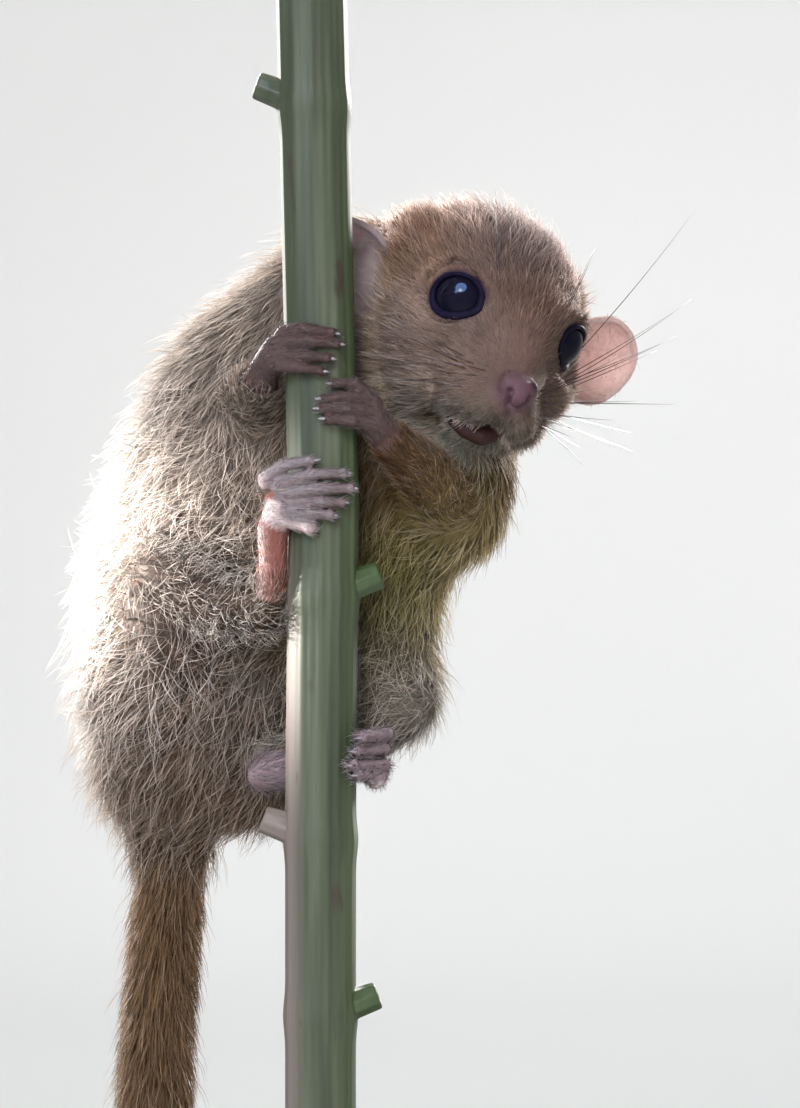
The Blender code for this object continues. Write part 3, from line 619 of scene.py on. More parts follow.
def read(items: bpy.types.bpy_prop_collection, name: str, width: int, kind: type = np.float32) -> np.ndarray:
    """Read one property of all items of a collection.

    Args:
        items: The collection.
        name: The property's name.
        width: How many numbers it has.
        kind: What numbers they are.

    Returns:
        One item a row.
    """
    flat = np.empty(len(items) * width, kind)
    items.foreach_get(name, flat)
    return flat.reshape(-1, width)


def points_of(item: bpy.types.Object) -> np.ndarray:
    """Read the places of an object's vertices."""
    return read(item.data.vertices, "co", 3).astype(float)


def normals_of(item: bpy.types.Object) -> np.ndarray:
    """Read the normals of an object's vertices."""
    return read(item.data.vertex_normals, "vector", 3).astype(float)


def move_points(item: bpy.types.Object, points: np.ndarray) -> None:
    """Set the places of an object's vertices."""
    item.data.vertices.foreach_set("co", points.astype(np.float32).ravel())
    item.data.update()


def eye_centre(side: int) -> np.ndarray:
    """Give the middle of one eyeball, 1 for left and -1 for right."""
    return from_head(mirrored(EYE_PLACE, side))


def lid_share(points: np.ndarray, side: int) -> np.ndarray:
    """Tell how far points are from the middle of one eye's opening.

    Args:
        points: Points in millimetres.
        side: 1 for left and -1 for right.

    Returns:
        1 on the rim of the lids, less inside and more outside.
    """
    nose, up, gaze = eye_axes(side)
    offset = points - eye_centre(side)
    ring = np.hypot(offset @ nose / LID_ALONG, offset @ up / LID_ACROSS)
    return np.where(offset @ gaze > -1.0, ring, 9.0)


def eye_axes(side: int) -> tuple[np.ndarray, np.ndarray, np.ndarray]:
    """Give the directions along the lids towards the nose, up, and out along the gaze.

    Args:
        side: 1 for left and -1 for right.

    Returns:
        The three directions.
    """
    gaze = unit(HEAD_AXES @ mirrored(EYE_GAZE, side))
    nose = HEAD_AXES @ mirrored(EYE_LONG_AXIS, side)
    nose = unit(nose - gaze * (nose @ gaze))
    up = np.cross(gaze, nose)
    return nose, up * np.sign(up @ HEAD_AXES[:, 2]), gaze


@dataclass
class CoatField:
    """Blends the zones of the coat over the animal."""

    head_tree: BVHTree

    def head_share(self, points: np.ndarray) -> np.ndarray:
        """Tell how far points belong to the head."""
        away = np.array([self.head_tree.find_nearest(Vector(p), 6.0)[3] or 6.0 for p in points])
        return 1.0 - smoothstep(1.0, 2.4, away)

    def blend(self, points: np.ndarray, share: np.ndarray) -> dict[str, np.ndarray]:
        """Blend length, lift, depth and tone of all zones at some points.

        Args:
            points: Points in millimetres.
            share: How far each belongs to the head.

        Returns:
            The blended values by name.
        """
        local = to_head(points)
        folded = local.copy()
        folded[:, 1] = np.abs(folded[:, 1])
        head = self.mix(HEAD_ZONES, folded)
        body = self.mix(BODY_ZONES, points)
        weight = share[:, None]
        both = head * weight + body * (1.0 - weight)
        names = ("length", "lift", "depth", "ruffle")
        values = {name: both[:, column] for column, name in enumerate(names)}
        return values | {"tone": both[:, 4:7]}

    @staticmethod
    def mix(zones: Sequence[CoatZone], points: np.ndarray) -> np.ndarray:
        """Weigh zones by their distance from each point.

        Args:
            zones: The zones.
            points: Points in the zones' own axes.

        Returns:
            Length, lift, depth, ruffle and the three parts of the tone, a row a point.
        """
        total = np.zeros((len(points), 7))
        weights = np.zeros(len(points))
        for zone in zones:
            away = np.linalg.norm(points - np.array(zone.place), axis=1) / zone.reach
            weight = np.exp(-0.5 * away**2) + 1e-4 / (1.0 + away**4)
            values = np.array((zone.length, zone.lift, zone.depth, zone.ruffle, *zone.tone.value))
            total += weight[:, None] * values
            weights += weight
        return total / weights[:, None]


BODY_NODES = ("head", "neck", "torso", "thigh_left", "thigh_right", "upper_arm_left", "upper_arm_right")
LIMB_NODES = tuple(
    f"{part}_{side}" for part in ("shin", "forearm", "foot", "hand") for side in ("left", "right")
)
TAIL_NODES = ("tail_base", "tail_mid", "tail_tip")


@dataclass(frozen=True)
class Form:
    """One ellipsoid of the face, placed by the head's axes, on both sides where it is paired."""

    name: str
    place: Point
    radii: Point
    paired: bool = True


FACE_FORMS = (
    Form("nose pad", (10.25, 0.0, -2.75), (0.95, 1.05, 1.2), False),
    Form("nostril wing", (10.0, 0.75, -2.5), (0.8, 0.75, 1.0)),
    Form("upper lip", (8.2, 1.55, -4.8), (2.0, 1.6, 1.5)),
    Form("chin", (6.3, 0.0, -7.2), (1.8, 2.3, 1.0), False),
    Form("cheek", (1.6, 3.7, -5.7), (4.8, 2.3, 2.3)),
)

# Hair of the tail, the bare skin and the ears: length, lift and ruffle
TAIL_HAIR = {"length": 3.0, "lift": 24.0, "ruffle": 0.05}
BARE_HAIR = {"lift": 16.0, "ruffle": 0.15}
EAR_HAIR = {"length": 0.7, "lift": 24.0}


@dataclass
class Skin:
    """The one skin of the animal, under its coat.

    The body's forms grow by the closing distance before they melt together, and then sink by the
    coat's depth. Bare skin below left_foot_top is the left foot's, below feet_top a foot's, and
    above that a hand's. Once built, points, normals, local (by the head's axes) and values hold
    what the coat needs at each vertex.
    """

    bench: Workbench
    coat: CoatField
    closing: float = 0.25
    body_voxel: float = 0.3
    skin_voxel: float = 0.17
    limb_voxel: float = 0.11
    triangles: int = 190000
    ear_wall: float = 0.42
    left_foot_top: float = 68.0
    feet_top: float = 84.5
    item: bpy.types.Object | None = None
    points: np.ndarray | None = None
    normals: np.ndarray | None = None
    local: np.ndarray | None = None
    values: dict[str, np.ndarray] = field(default_factory=dict)

    def build(self) -> None:
        """Make the skin from the body's forms, the limbs, the tail and the ears."""
        bench = self.bench
        mass = bench.join([bench.node_copy(node) for node in BODY_NODES], "mass")
        bench.change(mass, DISPLACE={"mid_level": 0.0, "strength": self.closing})
        bench.melt(mass, self.body_voxel, 10)
        self.sink(mass)
        forms = [mass]
        for form in FACE_FORMS:
            for side in sides(form.paired):
                place = from_head(mirrored(form.place, side))
                forms.append(bench.ellipsoid(place, form.radii, HEAD_ROTATION))
        forms += bench.chain([(from_head(np.array(point)), radius) for point, radius in LOWER_LIP])
        forms += bench.chain([(point, radius * TAIL_CORE) for point, radius in TAIL_LINE])
        skin = bench.melt(bench.join(forms, "skin"), self.skin_voxel, 7)
        self.sculpt(skin)
        for limb in LIMBS:
            bench.unite(skin, self.limb(limb))
        for side in sides():
            bench.unite(skin, self.ear(side))
        skin.data.calc_loop_triangles()
        share = self.triangles / len(skin.data.loop_triangles)
        bench.change(skin, DECIMATE={"ratio": share, "use_collapse_triangulate": True})
        self.item = skin
        self.measure()
        LOG.info("skin: %d triangles", len(skin.data.polygons))

    def sink(self, mass: bpy.types.Object) -> None:
        """Lower the surface by the depth of the coat, and hardly at all round the eyes.

        Args:
            mass: The body's closed surface, grown by the closing distance.
        """
        lid_depth, lid_reach, fur_reach = 0.05, 2.4, 4.2
        points = points_of(mass)
        depth = self.coat.blend(points, self.coat.head_share(points))["depth"]
        for side in sides():
            gap = np.linalg.norm(points - eye_centre(side), axis=1)
            near = 1.0 - smoothstep(lid_reach, fur_reach, gap)
            depth = depth * (1.0 - near) + lid_depth * near
        move_points(mass, points - normals_of(mass) * (self.closing + depth)[:, None])

    def sculpt(self, skin: bpy.types.Object) -> None:
        """Carve nostrils, lips and folds into the face.

        Args:
            skin: The skin's closed surface.
        """
        points = points_of(skin)
        normals = normals_of(skin)
        local = to_head(points)
        for stroke in FACE_STROKES:
            for side in sides(stroke.paired):
                away = path_distance(local, stroke.on(side))[0] / stroke.radius
                falloff = np.clip(1.0 - away**2, 0.0, 1.0) ** 2
                points += normals * (stroke.push * falloff)[:, None]
        for side in sides():
            points = self.socket(points, side)
        move_points(skin, points)

    def socket(self, points: np.ndarray, side: int) -> np.ndarray:
        """Fit the skin round one eye to the rim of its lids.

        Args:
            points: The skin's points.
            side: 1 for left and -1 for right.

        Returns:
            The moved points.
        """
        behind_ball, behind_rim = 0.15, 0.08
        deepest, highest = -2.2, 4.5
        nose, up, gaze = eye_axes(side)
        offset = points - eye_centre(side)
        x, y, z = offset @ nose, offset @ up, offset @ gaze
        reach = np.hypot(x, y)
        ring = np.hypot(x / LID_ALONG, y / LID_ACROSS)
        rim = np.sqrt(np.maximum(LID_SPHERE**2 - (reach / np.maximum(ring, 1e-6)) ** 2, 0.2))
        inner = np.sqrt(np.maximum((EYE_RADIUS - behind_ball) ** 2 - reach**2, 0.0))
        blend = smoothstep(0.8, 1.05, ring)
        target = inner * (1.0 - blend) + (rim - behind_rim) * blend
        weight = (1.0 - smoothstep(1.4, 1.95, ring)) * (z > deepest) * (z < highest)
        return points + gaze * ((target - z) * weight)[:, None]

    def limb(self, limb: Limb) -> bpy.types.Object:
        """Make the lower part of one limb with its digits.

        Args:
            limb: The limb.

        Returns:
            Its closed surface.
        """
        bench = self.bench
        parts = bench.chain(limb.furred) + bench.chain((limb.furred[-1], limb.bare[0]))
        parts += bench.chain(limb.bare)
        middle, half = limb.bare[-1]
        for digit in limb.digits + limb.pads:
            knuckle, tip = digit[0], digit[-1]
            parts += bench.chain(((middle, half * 0.7), knuckle))
            parts += bench.chain(digit)
            parts.append(bench.pill((tip[0], tip[1] * 1.25), (tip[0], tip[1] * 1.2)))
        return bench.melt(bench.join(parts, "limb"), self.limb_voxel, 2)

    def ear(self, side: int) -> bpy.types.Object:
        """Make one thin round ear with a soft rim.

        Args:
            side: 1 for left and -1 for right.

        Returns:
            The ear's closed surface.
        """
        builder = bmesh.new()
        bmesh.ops.create_uvsphere(builder, u_segments=72, v_segments=40, radius=1.0)
        front = [v for v in builder.verts if v.co.z > 0.02]
        bmesh.ops.delete(builder, geom=front, context="VERTS")
        for vert in builder.verts:
            x, y, z = vert.co
            rim = 1.0 + z
            fold = 0.10 * math.exp(-(((x + 0.45) / 0.2) ** 2)) * (1.0 - rim**4)
            wave = 0.03 * math.sin(3.0 * math.atan2(y, x) + 0.6)
            vert.co = (x * (1.0 + wave), y * (1.0 - 0.5 * wave), z + fold)
        facing = Vector(HEAD_AXES @ mirrored(EAR_FACING, side)).normalized()
        across = Vector(HEAD_AXES @ mirrored(EAR_ACROSS, side)).normalized()
        up = facing.cross(across).normalized()
        turn = Matrix((across, up, facing)).transposed().to_4x4()
        place = Matrix.Translation(Vector(from_head(mirrored(EAR_PLACES[side], side))))
        shape = place @ turn @ Matrix.Diagonal((*EAR_SIZE, 1.0))
        bmesh.ops.transform(builder, matrix=shape, verts=builder.verts)
        ear = self.bench.from_bmesh(builder, "ear")
        self.bench.change(ear, SOLIDIFY={"thickness": self.ear_wall, "offset": 0.0})
        return self.bench.melt(ear, self.limb_voxel, 4)

    def measure(self) -> None:
        """Work out the coat's values and the skin's colour at every vertex."""
        self.points = points_of(self.item)
        self.normals = normals_of(self.item)
        self.local = to_head(self.points)
        head = self.coat.head_share(self.points)
        self.values = self.coat.blend(self.points, head)
        lie = BODY_LIE[None, :] * (1.0 - head)[:, None]
        self.values["lie"] = lie + unit(self.local - NOSE_TIP) @ HEAD_AXES.T * head[:, None]
        # The skin under the coat is a darker copy of the hair's colour, darkest where hair is ruffled:
        # partly the coat's dark base, partly painted shade in the gaps between tufts.
        self.values["skin_tone"] = self.values["tone"] * (0.6 - 0.35 * self.values["ruffle"])[:, None]
        self.lay_tail()
        self.lay_limbs()
        self.lay_ears()
        self.lay_nose_and_mouth()
        self.lay_lids()
        self.values["lie"] = self.spread(self.values["lie"], 24)

    def shift(self, weight: np.ndarray, **targets: float | np.ndarray) -> None:
        """Move some values towards new ones.

        Args:
            weight: How far at each vertex, from 0 to 1.
            **targets: The new values by name.
        """
        for name, target in targets.items():
            old = self.values[name]
            share = weight if old.ndim == 1 else weight[:, None]
            self.values[name] = old * (1.0 - share) + target * share

    def lay_tail(self) -> None:
        """Give the tail its own hair, which lies along it."""
        away, _, along = path_distance(self.points, np.array([point for point, _ in TAIL_LINE]))
        tail = (1.0 - smoothstep(1.8, 2.8, away)) * (1.0 - smoothstep(55.0, 60.0, self.points[:, 2]))
        # The tail's skin is a darker copy of its hair colour, partly painted shade under the hair.
        self.shift(tail, **TAIL_HAIR, lie=along, tone=Tone.TAIL.rgb, skin_tone=Tone.TAIL.rgb * 0.6)
        self.values["tail"] = tail

    def lay_limbs(self) -> None:
        """Give the limbs their coat, and the soles and hands bare skin with short hair."""
        values = self.values
        height = self.points[:, 2]
        bare = np.zeros(len(self.points))
        values["limb_tone"] = np.tile(Tone.PINK.rgb, (len(self.points), 1))
        for limb in LIMBS:
            weight, along = self.near(limb.furred, 0.9)
            self.shift(weight, length=limb.hair, lie=along)
            self.shift(weight * 0.6, tone=limb.tone.rgb)
            for line in (limb.bare, *limb.pads, *limb.digits):
                weight, along = self.near(line, 0.45)
                if line is limb.bare:
                    ankle_gap = np.linalg.norm(self.points - np.array(line[0][0]), axis=1)
                    weight = weight * smoothstep(0.2, 1.5, ankle_gap)
                bare = np.maximum(bare, weight)
                self.shift(weight, limb_tone=limb.bare_tone.rgb, lie=along)
                if line in limb.digits:
                    self.shift(weight * 0.85, limb_tone=limb.digit_tone.rgb)
                if line in limb.pads:
                    self.shift(weight, limb_tone=Tone.MAUVE.rgb)
        self.shift(bare, **BARE_HAIR, length=np.where(height < self.left_foot_top, 1.1, 0.7))
        down = Tone.WHITE.rgb * np.where(self.points[:, 2:] < self.feet_top, 0.18, 0.08)
        self.shift(bare, tone=values["limb_tone"] * 0.85 + down)
        # Bare skin is darker and redder close to the stem.
        near_stem = bare * (1.0 - smoothstep(2.7, 3.6, self.stem_gap()))
        values["limb_tone"] *= 1.0 - 0.45 * near_stem[:, None] * np.array((0.3, 1.0, 1.0))
        # A pale mauve strip along the left edge of the right sole is painted sunlight.
        edge = bare * (1.0 - smoothstep(-6.6, -5.5, self.points[:, 0])) * (height > 70.0)
        self.shift(edge * (height < self.feet_top) * 0.75, limb_tone=Tone.MAUVE.rgb)
        self.shift(bare, skin_tone=values.pop("limb_tone"))
        values["bare"] = bare

    def lay_ears(self) -> None:
        """Make the ears bare with a short down."""
        ear = np.zeros(len(self.points))
        # The right ear takes the darker tone as painted shade.
        for side, tone in ((1, Tone.EAR), (-1, Tone.EAR_PAINTED_SHADE)):
            away = np.linalg.norm(self.local - mirrored(EAR_PLACES[side], side), axis=1)
            beyond = smoothstep(7.6, 8.6, np.abs(self.local[:, 1])) * (away < 5.0)
            beyond = beyond * (np.sign(self.local[:, 1]) == side)
            ear = np.maximum(ear, beyond)
            self.shift(beyond, tone=tone.rgb, skin_tone=tone.rgb)
        self.shift(ear, **EAR_HAIR)
        self.values["ear"] = ear

    def lay_nose_and_mouth(self) -> None:
        """Colour the nose pad, the lower lip, the nostrils and the mouth's line."""
        local = self.local
        pad = 1.0 - smoothstep(0.9, 2.2, np.linalg.norm(local - np.array((10.6, 0.0, -2.7)), axis=1))
        self.shift(pad * 0.8, skin_tone=Tone.ROSE.rgb)
        lip_path = np.array([point for point, _ in LOWER_LIP])
        away, place, _ = path_distance(local, lip_path)
        half = np.interp(place, range(len(LOWER_LIP)), [radius for _, radius in LOWER_LIP])
        mouth = np.interp(np.abs(local[:, 1]), (0.0, 1.0, 1.9, 2.5), (-5.4, -6.2, -6.55, -6.85))
        lip = (1.0 - smoothstep(0.02, 0.2, away - half)) * smoothstep(-0.05, 0.15, mouth - local[:, 2])
        self.shift(lip, skin_tone=Tone.LIP.rgb)
        self.values["bald"] = lip
        # Painted shade: the carved nostrils, the groove below the nose and the mouth's line are darkened to
        # plum.
        for stroke in FACE_STROKES[:3]:
            for side in sides(stroke.paired):
                near = 1.0 - smoothstep(0.12, 0.42, path_distance(local, stroke.on(side))[0])
                self.shift(near * 0.85, skin_tone=Tone.PLUM.rgb)
        # A dark plum patch on the left side of the nose.
        patch = 1.0 - smoothstep(0.3, 1.0, np.linalg.norm(local - np.array((10.4, 1.1, -1.5)), axis=1))
        self.shift(patch * 0.8, skin_tone=Tone.PLUM.rgb)

    def lay_lids(self) -> None:
        """Darken the skin at the lids, and comb the hair there short and away from the eye."""
        values = self.values
        for side in sides():
            ring = lid_share(self.points, side)
            self.shift(1.0 - smoothstep(1.15, 1.3, ring), skin_tone=Tone.PLUM.rgb)
            close = 1.0 - smoothstep(1.2, 2.4, ring)
            values["length"] = values["length"] * (1.0 - 0.55 * close)
            outward = unit(self.points - eye_centre(side))
            lie = unit(values["lie"])
            inward = np.minimum((lie * outward).sum(axis=1), 0.0) - 0.35
            values["lie"] = lie - outward * (inward * close)[:, None]

    def unwrap(self) -> np.ndarray:
        """Unwrap the skin's own shape.

        Returns:
            The places of each triangle's three corners, from 0 to 1 in each direction.
        """
        mesh = self.item.data
        mesh.uv_layers.new(name="unwrap")
        bpy.context.view_layer.objects.active = self.item
        self.item.select_set(True)
        bpy.ops.object.mode_set(mode="EDIT")
        bpy.ops.mesh.select_all(action="SELECT")
        bpy.ops.uv.smart_project(angle_limit=math.radians(66.0), island_margin=0.002)
        bpy.ops.object.mode_set(mode="OBJECT")
        layer = mesh.uv_layers["unwrap"]
        places = read(layer.data, "uv", 2).reshape(-1, 3, 2).astype(float)
        mesh.uv_layers.remove(layer)
        return places

    def spread(self, values: np.ndarray, rounds: int) -> np.ndarray:
        """Average values at the skin's vertices with those of their neighbours.

        Args:
            values: One row a vertex.
            rounds: How often.

        Returns:
            The smoothed values.
        """
        ends = read(self.item.data.edges, "vertices", 2, np.int32)
        ends = np.concatenate((ends, ends[:, ::-1]))
        count = np.bincount(ends[:, 0], minlength=len(values))[:, None] + 1.0
        for _ in range(rounds):
            total = [np.bincount(ends[:, 0], values[ends[:, 1], k], len(values)) for k in range(3)]
            values = (values + np.stack(total, axis=1)) / count
        return values

    def stem_gap(self) -> np.ndarray:
        """Measure how far the skin's vertices are from the stem's middle."""
        across = self.points[:, 0] - stem_middle(self.points[:, 2])
        return np.hypot(across, self.points[:, 1] - STEM_Y)

    def near(self, line: Path, margin: float) -> tuple[np.ndarray, np.ndarray]:
        """Tell how near the skin's vertices are to a line with half-widths.

        Args:
            line: The line.
            margin: How far past its half-width it still counts.

        Returns:
            1 on the line's own surface and 0 past the margin, and the line's direction.
        """
        away, place, along = path_distance(self.points, np.array([point for point, _ in line]))
        radius = np.interp(place, range(len(line)), [half for _, half in line])
        return 1.0 - smoothstep(0.5 * margin, margin, away - radius), along


class TuftKind(Enum):
    """Kinds of tufts, by their rings of three vertices below the tip."""

    SHORT = 2
    LONG = 3

    @property
    def triangles(self) -> int:
        """Count a tuft's triangles."""
        return (self.value - 1) * 6 + 4

    def levels(self) -> np.ndarray:
        """Give the rings' places from root to tip."""
        return np.linspace(0.0, 1.0, self.value + 1)[:-1] ** 1.1


@dataclass
class Tufts:
    """A batch of tufts of hair, one a row."""

    root: np.ndarray
    normal: np.ndarray
    lie: np.ndarray
    length: np.ndarray
    lift: np.ndarray
    width: np.ndarray
    ruffle: np.ndarray
    tone: np.ndarray
    bake_place: np.ndarray

    def pick(self, rows: np.ndarray) -> "Tufts":
        """Take some of the tufts."""
        return Tufts(*(getattr(self, name)[rows] for name in self.__dataclass_fields__))


# How bare skin, ears, tail and ruffled coat change the number of tufts
DENSITY_CHANGES = (("bare", -0.5), ("ear", -0.97), ("tail", 0.5), ("ruffle", -0.25))


@dataclass
class Coat:
    """The hair that grows from the skin, with densities in tufts on a square millimetre.

    Hair below tail_top and beyond tail_side belongs to the tail. The lid gap is a share of the
    half-widths of the lids' opening, and bake_patch is a tuft's width in the bake map.
    """

    bench: Workbench
    skin: Skin
    body_density: float = 17.0
    usual_length: float = 3.2
    fewest: float = 12.0
    most: float = 75.0
    root_depth: float = 0.06
    long_from: float = 1.9
    tail_top: float = 56.0
    tail_side: float = -9.0
    lid_gap: float = 1.18
    stem_room: float = 0.08
    eye_room: float = 0.1
    bake_patch: float = 0.003
    piece_triangles: int = 190000
    pieces: list[bpy.types.Object] = field(default_factory=list)

    def build(self, finish: bpy.types.Material) -> None:
        """Grow all tufts and join them into pieces.

        Args:
            finish: The hair's material.
        """
        tufts = self.scatter()
        draw = np.random.default_rng(SEED + 1)
        tail = (tufts.root[:, 2] < self.tail_top) & (tufts.root[:, 0] < self.tail_side)
        long_hair = tufts.length > self.long_from
        groups = (
            ("tail", "tail_fur", TuftKind.LONG, tail),
            ("long", "sandy_fur", TuftKind.LONG, long_hair & ~tail),
            ("short", "sandy_fur", TuftKind.SHORT, ~long_hair & ~tail),
        )
        for name, slot, kind, rows in groups:
            chosen = tufts.pick(np.flatnonzero(rows))
            lines = self.comb(chosen, kind, draw)
            upwards = np.argsort(chosen.root[:, 2], kind="stable")
            batches = math.ceil(len(upwards) * kind.triangles / self.piece_triangles)
            for number, part in enumerate(np.array_split(upwards, batches), 1):
                piece = self.piece(chosen.pick(part), lines[part], kind, f"coat_{name}_{number}", finish)
                self.pieces.append(piece)
        LOG.info("coat: %d tufts in %d pieces", len(tufts.length), len(self.pieces))

    def scatter(self) -> Tufts:
        """Spread the roots over the skin, closer where hair is short, with none on nose pad and lips.

        Returns:
            The tufts.
        """
        skin = self.skin
        draw = np.random.default_rng(SEED)
        corners = read(skin.item.data.polygons, "vertices", 3, np.int32)
        a, b, c = (skin.points[corners[:, k]] for k in range(3))
        area = np.linalg.norm(np.cross(b - a, c - a), axis=1) / 2
        shortness = (self.usual_length / skin.values["length"]) ** 1.15
        density = np.clip(self.body_density * shortness, self.fewest, self.most)
        for name, change in DENSITY_CHANGES:
            density *= 1.0 + change * skin.values[name]
        pad_gap = np.linalg.norm(skin.local - np.array((10.9, 0.0, -2.7)), axis=1)
        density *= smoothstep(0.9, 1.6, pad_gap) * (1.0 - skin.values["bald"])
        weight = area * density[corners].mean(axis=1)
        total = np.cumsum(weight)
        count = int(total[-1])
        chosen = np.searchsorted(total, (np.arange(count) + draw.random(count)) / count * total[-1])
        chosen = np.minimum(chosen, len(corners) - 1)
        first = np.sqrt(draw.random(count))
        second = draw.random(count)
        mix = np.stack((1.0 - first, first * (1.0 - second), first * second), axis=1)[:, :, None]

        def at(values: np.ndarray) -> np.ndarray:
            """Take the skin's values to the roots."""
            return (values[corners[chosen]] * mix).sum(axis=1)

        normal = unit(at(skin.normals))
        root = at(skin.points) - normal * self.root_depth
        lie = at(skin.values["lie"])
        ruffle = at(skin.values["ruffle"][:, None])[:, 0]
        turn = wavy_noise(root, 6.0, 3) * 0.55 + wavy_noise(root, 2.0, 4) * 0.45
        turn = turn * ruffle + draw.normal(size=count) * (0.08 + 0.2 * ruffle)
        lie = unit(lie - normal * (lie * normal).sum(axis=1)[:, None])
        side = np.cross(normal, lie)
        length = at(skin.values["length"][:, None])[:, 0] * draw.uniform(0.72, 1.15, count)
        spread = 0.25 + 0.45 * ruffle
        lift = at(skin.values["lift"][:, None])[:, 0] * (1.0 + draw.uniform(-1.0, 1.0, count) * spread)
        rank = draw.random(count)
        under = rank < 0.5 * ruffle
        guard = rank > 0.97 - 0.2 * ruffle
        turn = turn + guard * draw.normal(size=count) * 0.45 * ruffle
        length = length * np.where(under, 0.75, np.where(guard, 1.3, 1.0))
        lift = lift * np.where(under, 0.55, np.where(guard, 1.35, 1.0))
        lie = lie * np.cos(turn)[:, None] + side * np.sin(turn)[:, None]
        width = (0.042 + 0.0115 * length) * draw.uniform(0.8, 1.2, count) * (1.0 + 0.3 * guard * ruffle)
        tone = self.hair_tones(at(skin.values["tone"]), root, ruffle, rank, draw)
        bake_place = (skin.unwrap()[chosen] * mix).sum(axis=1)
        tufts = Tufts(root, normal, lie, length, np.radians(lift), width, ruffle, tone, bake_place)
        outside = np.minimum(lid_share(root, 1), lid_share(root, -1)) > self.lid_gap
        return tufts.pick(np.flatnonzero(outside))

    def hair_tones(
        self,
        tone: np.ndarray,
        root: np.ndarray,
        ruffle: np.ndarray,
        rank: np.ndarray,
        draw: np.random.Generator,
    ) -> np.ndarray:
        """Vary the colour from tuft to tuft, with some dark hairs and some pale ones.

        Args:
            tone: The coat's colour at each root.
            root: The roots.
            ruffle: How far the hair strays.
            rank: From 0 for the dark hair beneath to 1 for the pale guard hair.
            draw: Source of random numbers.

        Returns:
            A colour a tuft.
        """
        count = len(tone)
        strength = 0.05 + 0.16 * ruffle
        patches = 1.0 + strength * (wavy_noise(root, 3.0, 5) + 0.6 * wavy_noise(root, 1.1, 6))
        varied = tone * patches[:, None] * draw.uniform(0.8, 1.2, (count, 1))
        pale = rank > 0.97 - 0.27 * ruffle
        dark = rank < 0.14 + 0.36 * ruffle
        white = (0.12 + 0.42 * ruffle[pale])[:, None]
        varied[pale] = varied[pale] * (1.3 - 1.4 * white) + Tone.WHITE.rgb * white
        varied[dark] = varied[dark] * 0.3 + Tone.DARK_HAIR.rgb * 0.5
        return np.clip(varied, 0.01, 0.95)

    def comb(self, tufts: Tufts, kind: TuftKind, draw: np.random.Generator) -> np.ndarray:
        """Bend each tuft along its lie and draw neighbours' tips together.

        Args:
            tufts: The tufts.
            kind: How finely they are built.
            draw: Source of random numbers.

        Returns:
            Middles of the rings and the tip, by tuft and level.
        """
        levels = np.append(kind.levels(), 1.0)
        start = tufts.lift * 1.5
        end = tufts.lift * 0.35
        side = np.cross(tufts.normal, tufts.lie)
        ahead = np.cos(start)[:, None] * tufts.lie + np.sin(start)[:, None] * tufts.normal
        later = np.cos(end)[:, None] * tufts.lie + np.sin(end)[:, None] * tufts.normal
        curl = (draw.normal(size=len(tufts.length)) * (0.08 + 0.45 * tufts.ruffle))[:, None] * side
        lines = []
        for level in levels:
            step = ahead * level + (later - ahead) * (level**2 / 2) + curl * level**2
            lines.append(tufts.root + step * tufts.length[:, None])
        lines = np.stack(lines, axis=1)
        tips = lines[:, -1]
        count = len(tips)
        leaders = draw.choice(count, max(1, count // 8), replace=False)
        tree = KDTree(len(leaders))
        for index in leaders:
            tree.insert(Vector(tips[index]), int(index))
        tree.balance()
        nearest = np.array([tree.find(Vector(tip))[1] for tip in tips])
        pull = tips[nearest] - tips
        reach = np.linalg.norm(pull, axis=1)
        strength = draw.uniform(0.3, 1.0, count)[nearest] * (0.15 + 0.75 * tufts.ruffle)
        strength = strength * (reach < tufts.length * 0.4)
        for index, level in enumerate(levels):
            lines[:, index] += pull * (strength * level**1.6)[:, None]
        return self.keep_clear(lines)

    def keep_clear(self, lines: np.ndarray) -> np.ndarray:
        """Push hair out of the stem and the eyes.

        Args:
            lines: Points of the hair.

        Returns:
            The moved points.
        """
        flat = lines.reshape(-1, 3)
        middle = np.stack((stem_middle(flat[:, 2]), np.full(len(flat), STEM_Y)), axis=1)
        away = flat[:, :2] - middle
        reach = np.linalg.norm(away, axis=1)
        least = STEM_RADIUS + self.stem_room
        inside = reach < least
        flat[inside, :2] = middle[inside] + away[inside] / reach[inside, None] * least
        least = EYE_RADIUS + self.eye_room
        for side in sides():
            gap = flat - eye_centre(side)
            reach = np.linalg.norm(gap, axis=1)
            inside = reach < least
            flat[inside] = eye_centre(side) + gap[inside] / reach[inside, None] * least
        return flat.reshape(lines.shape)

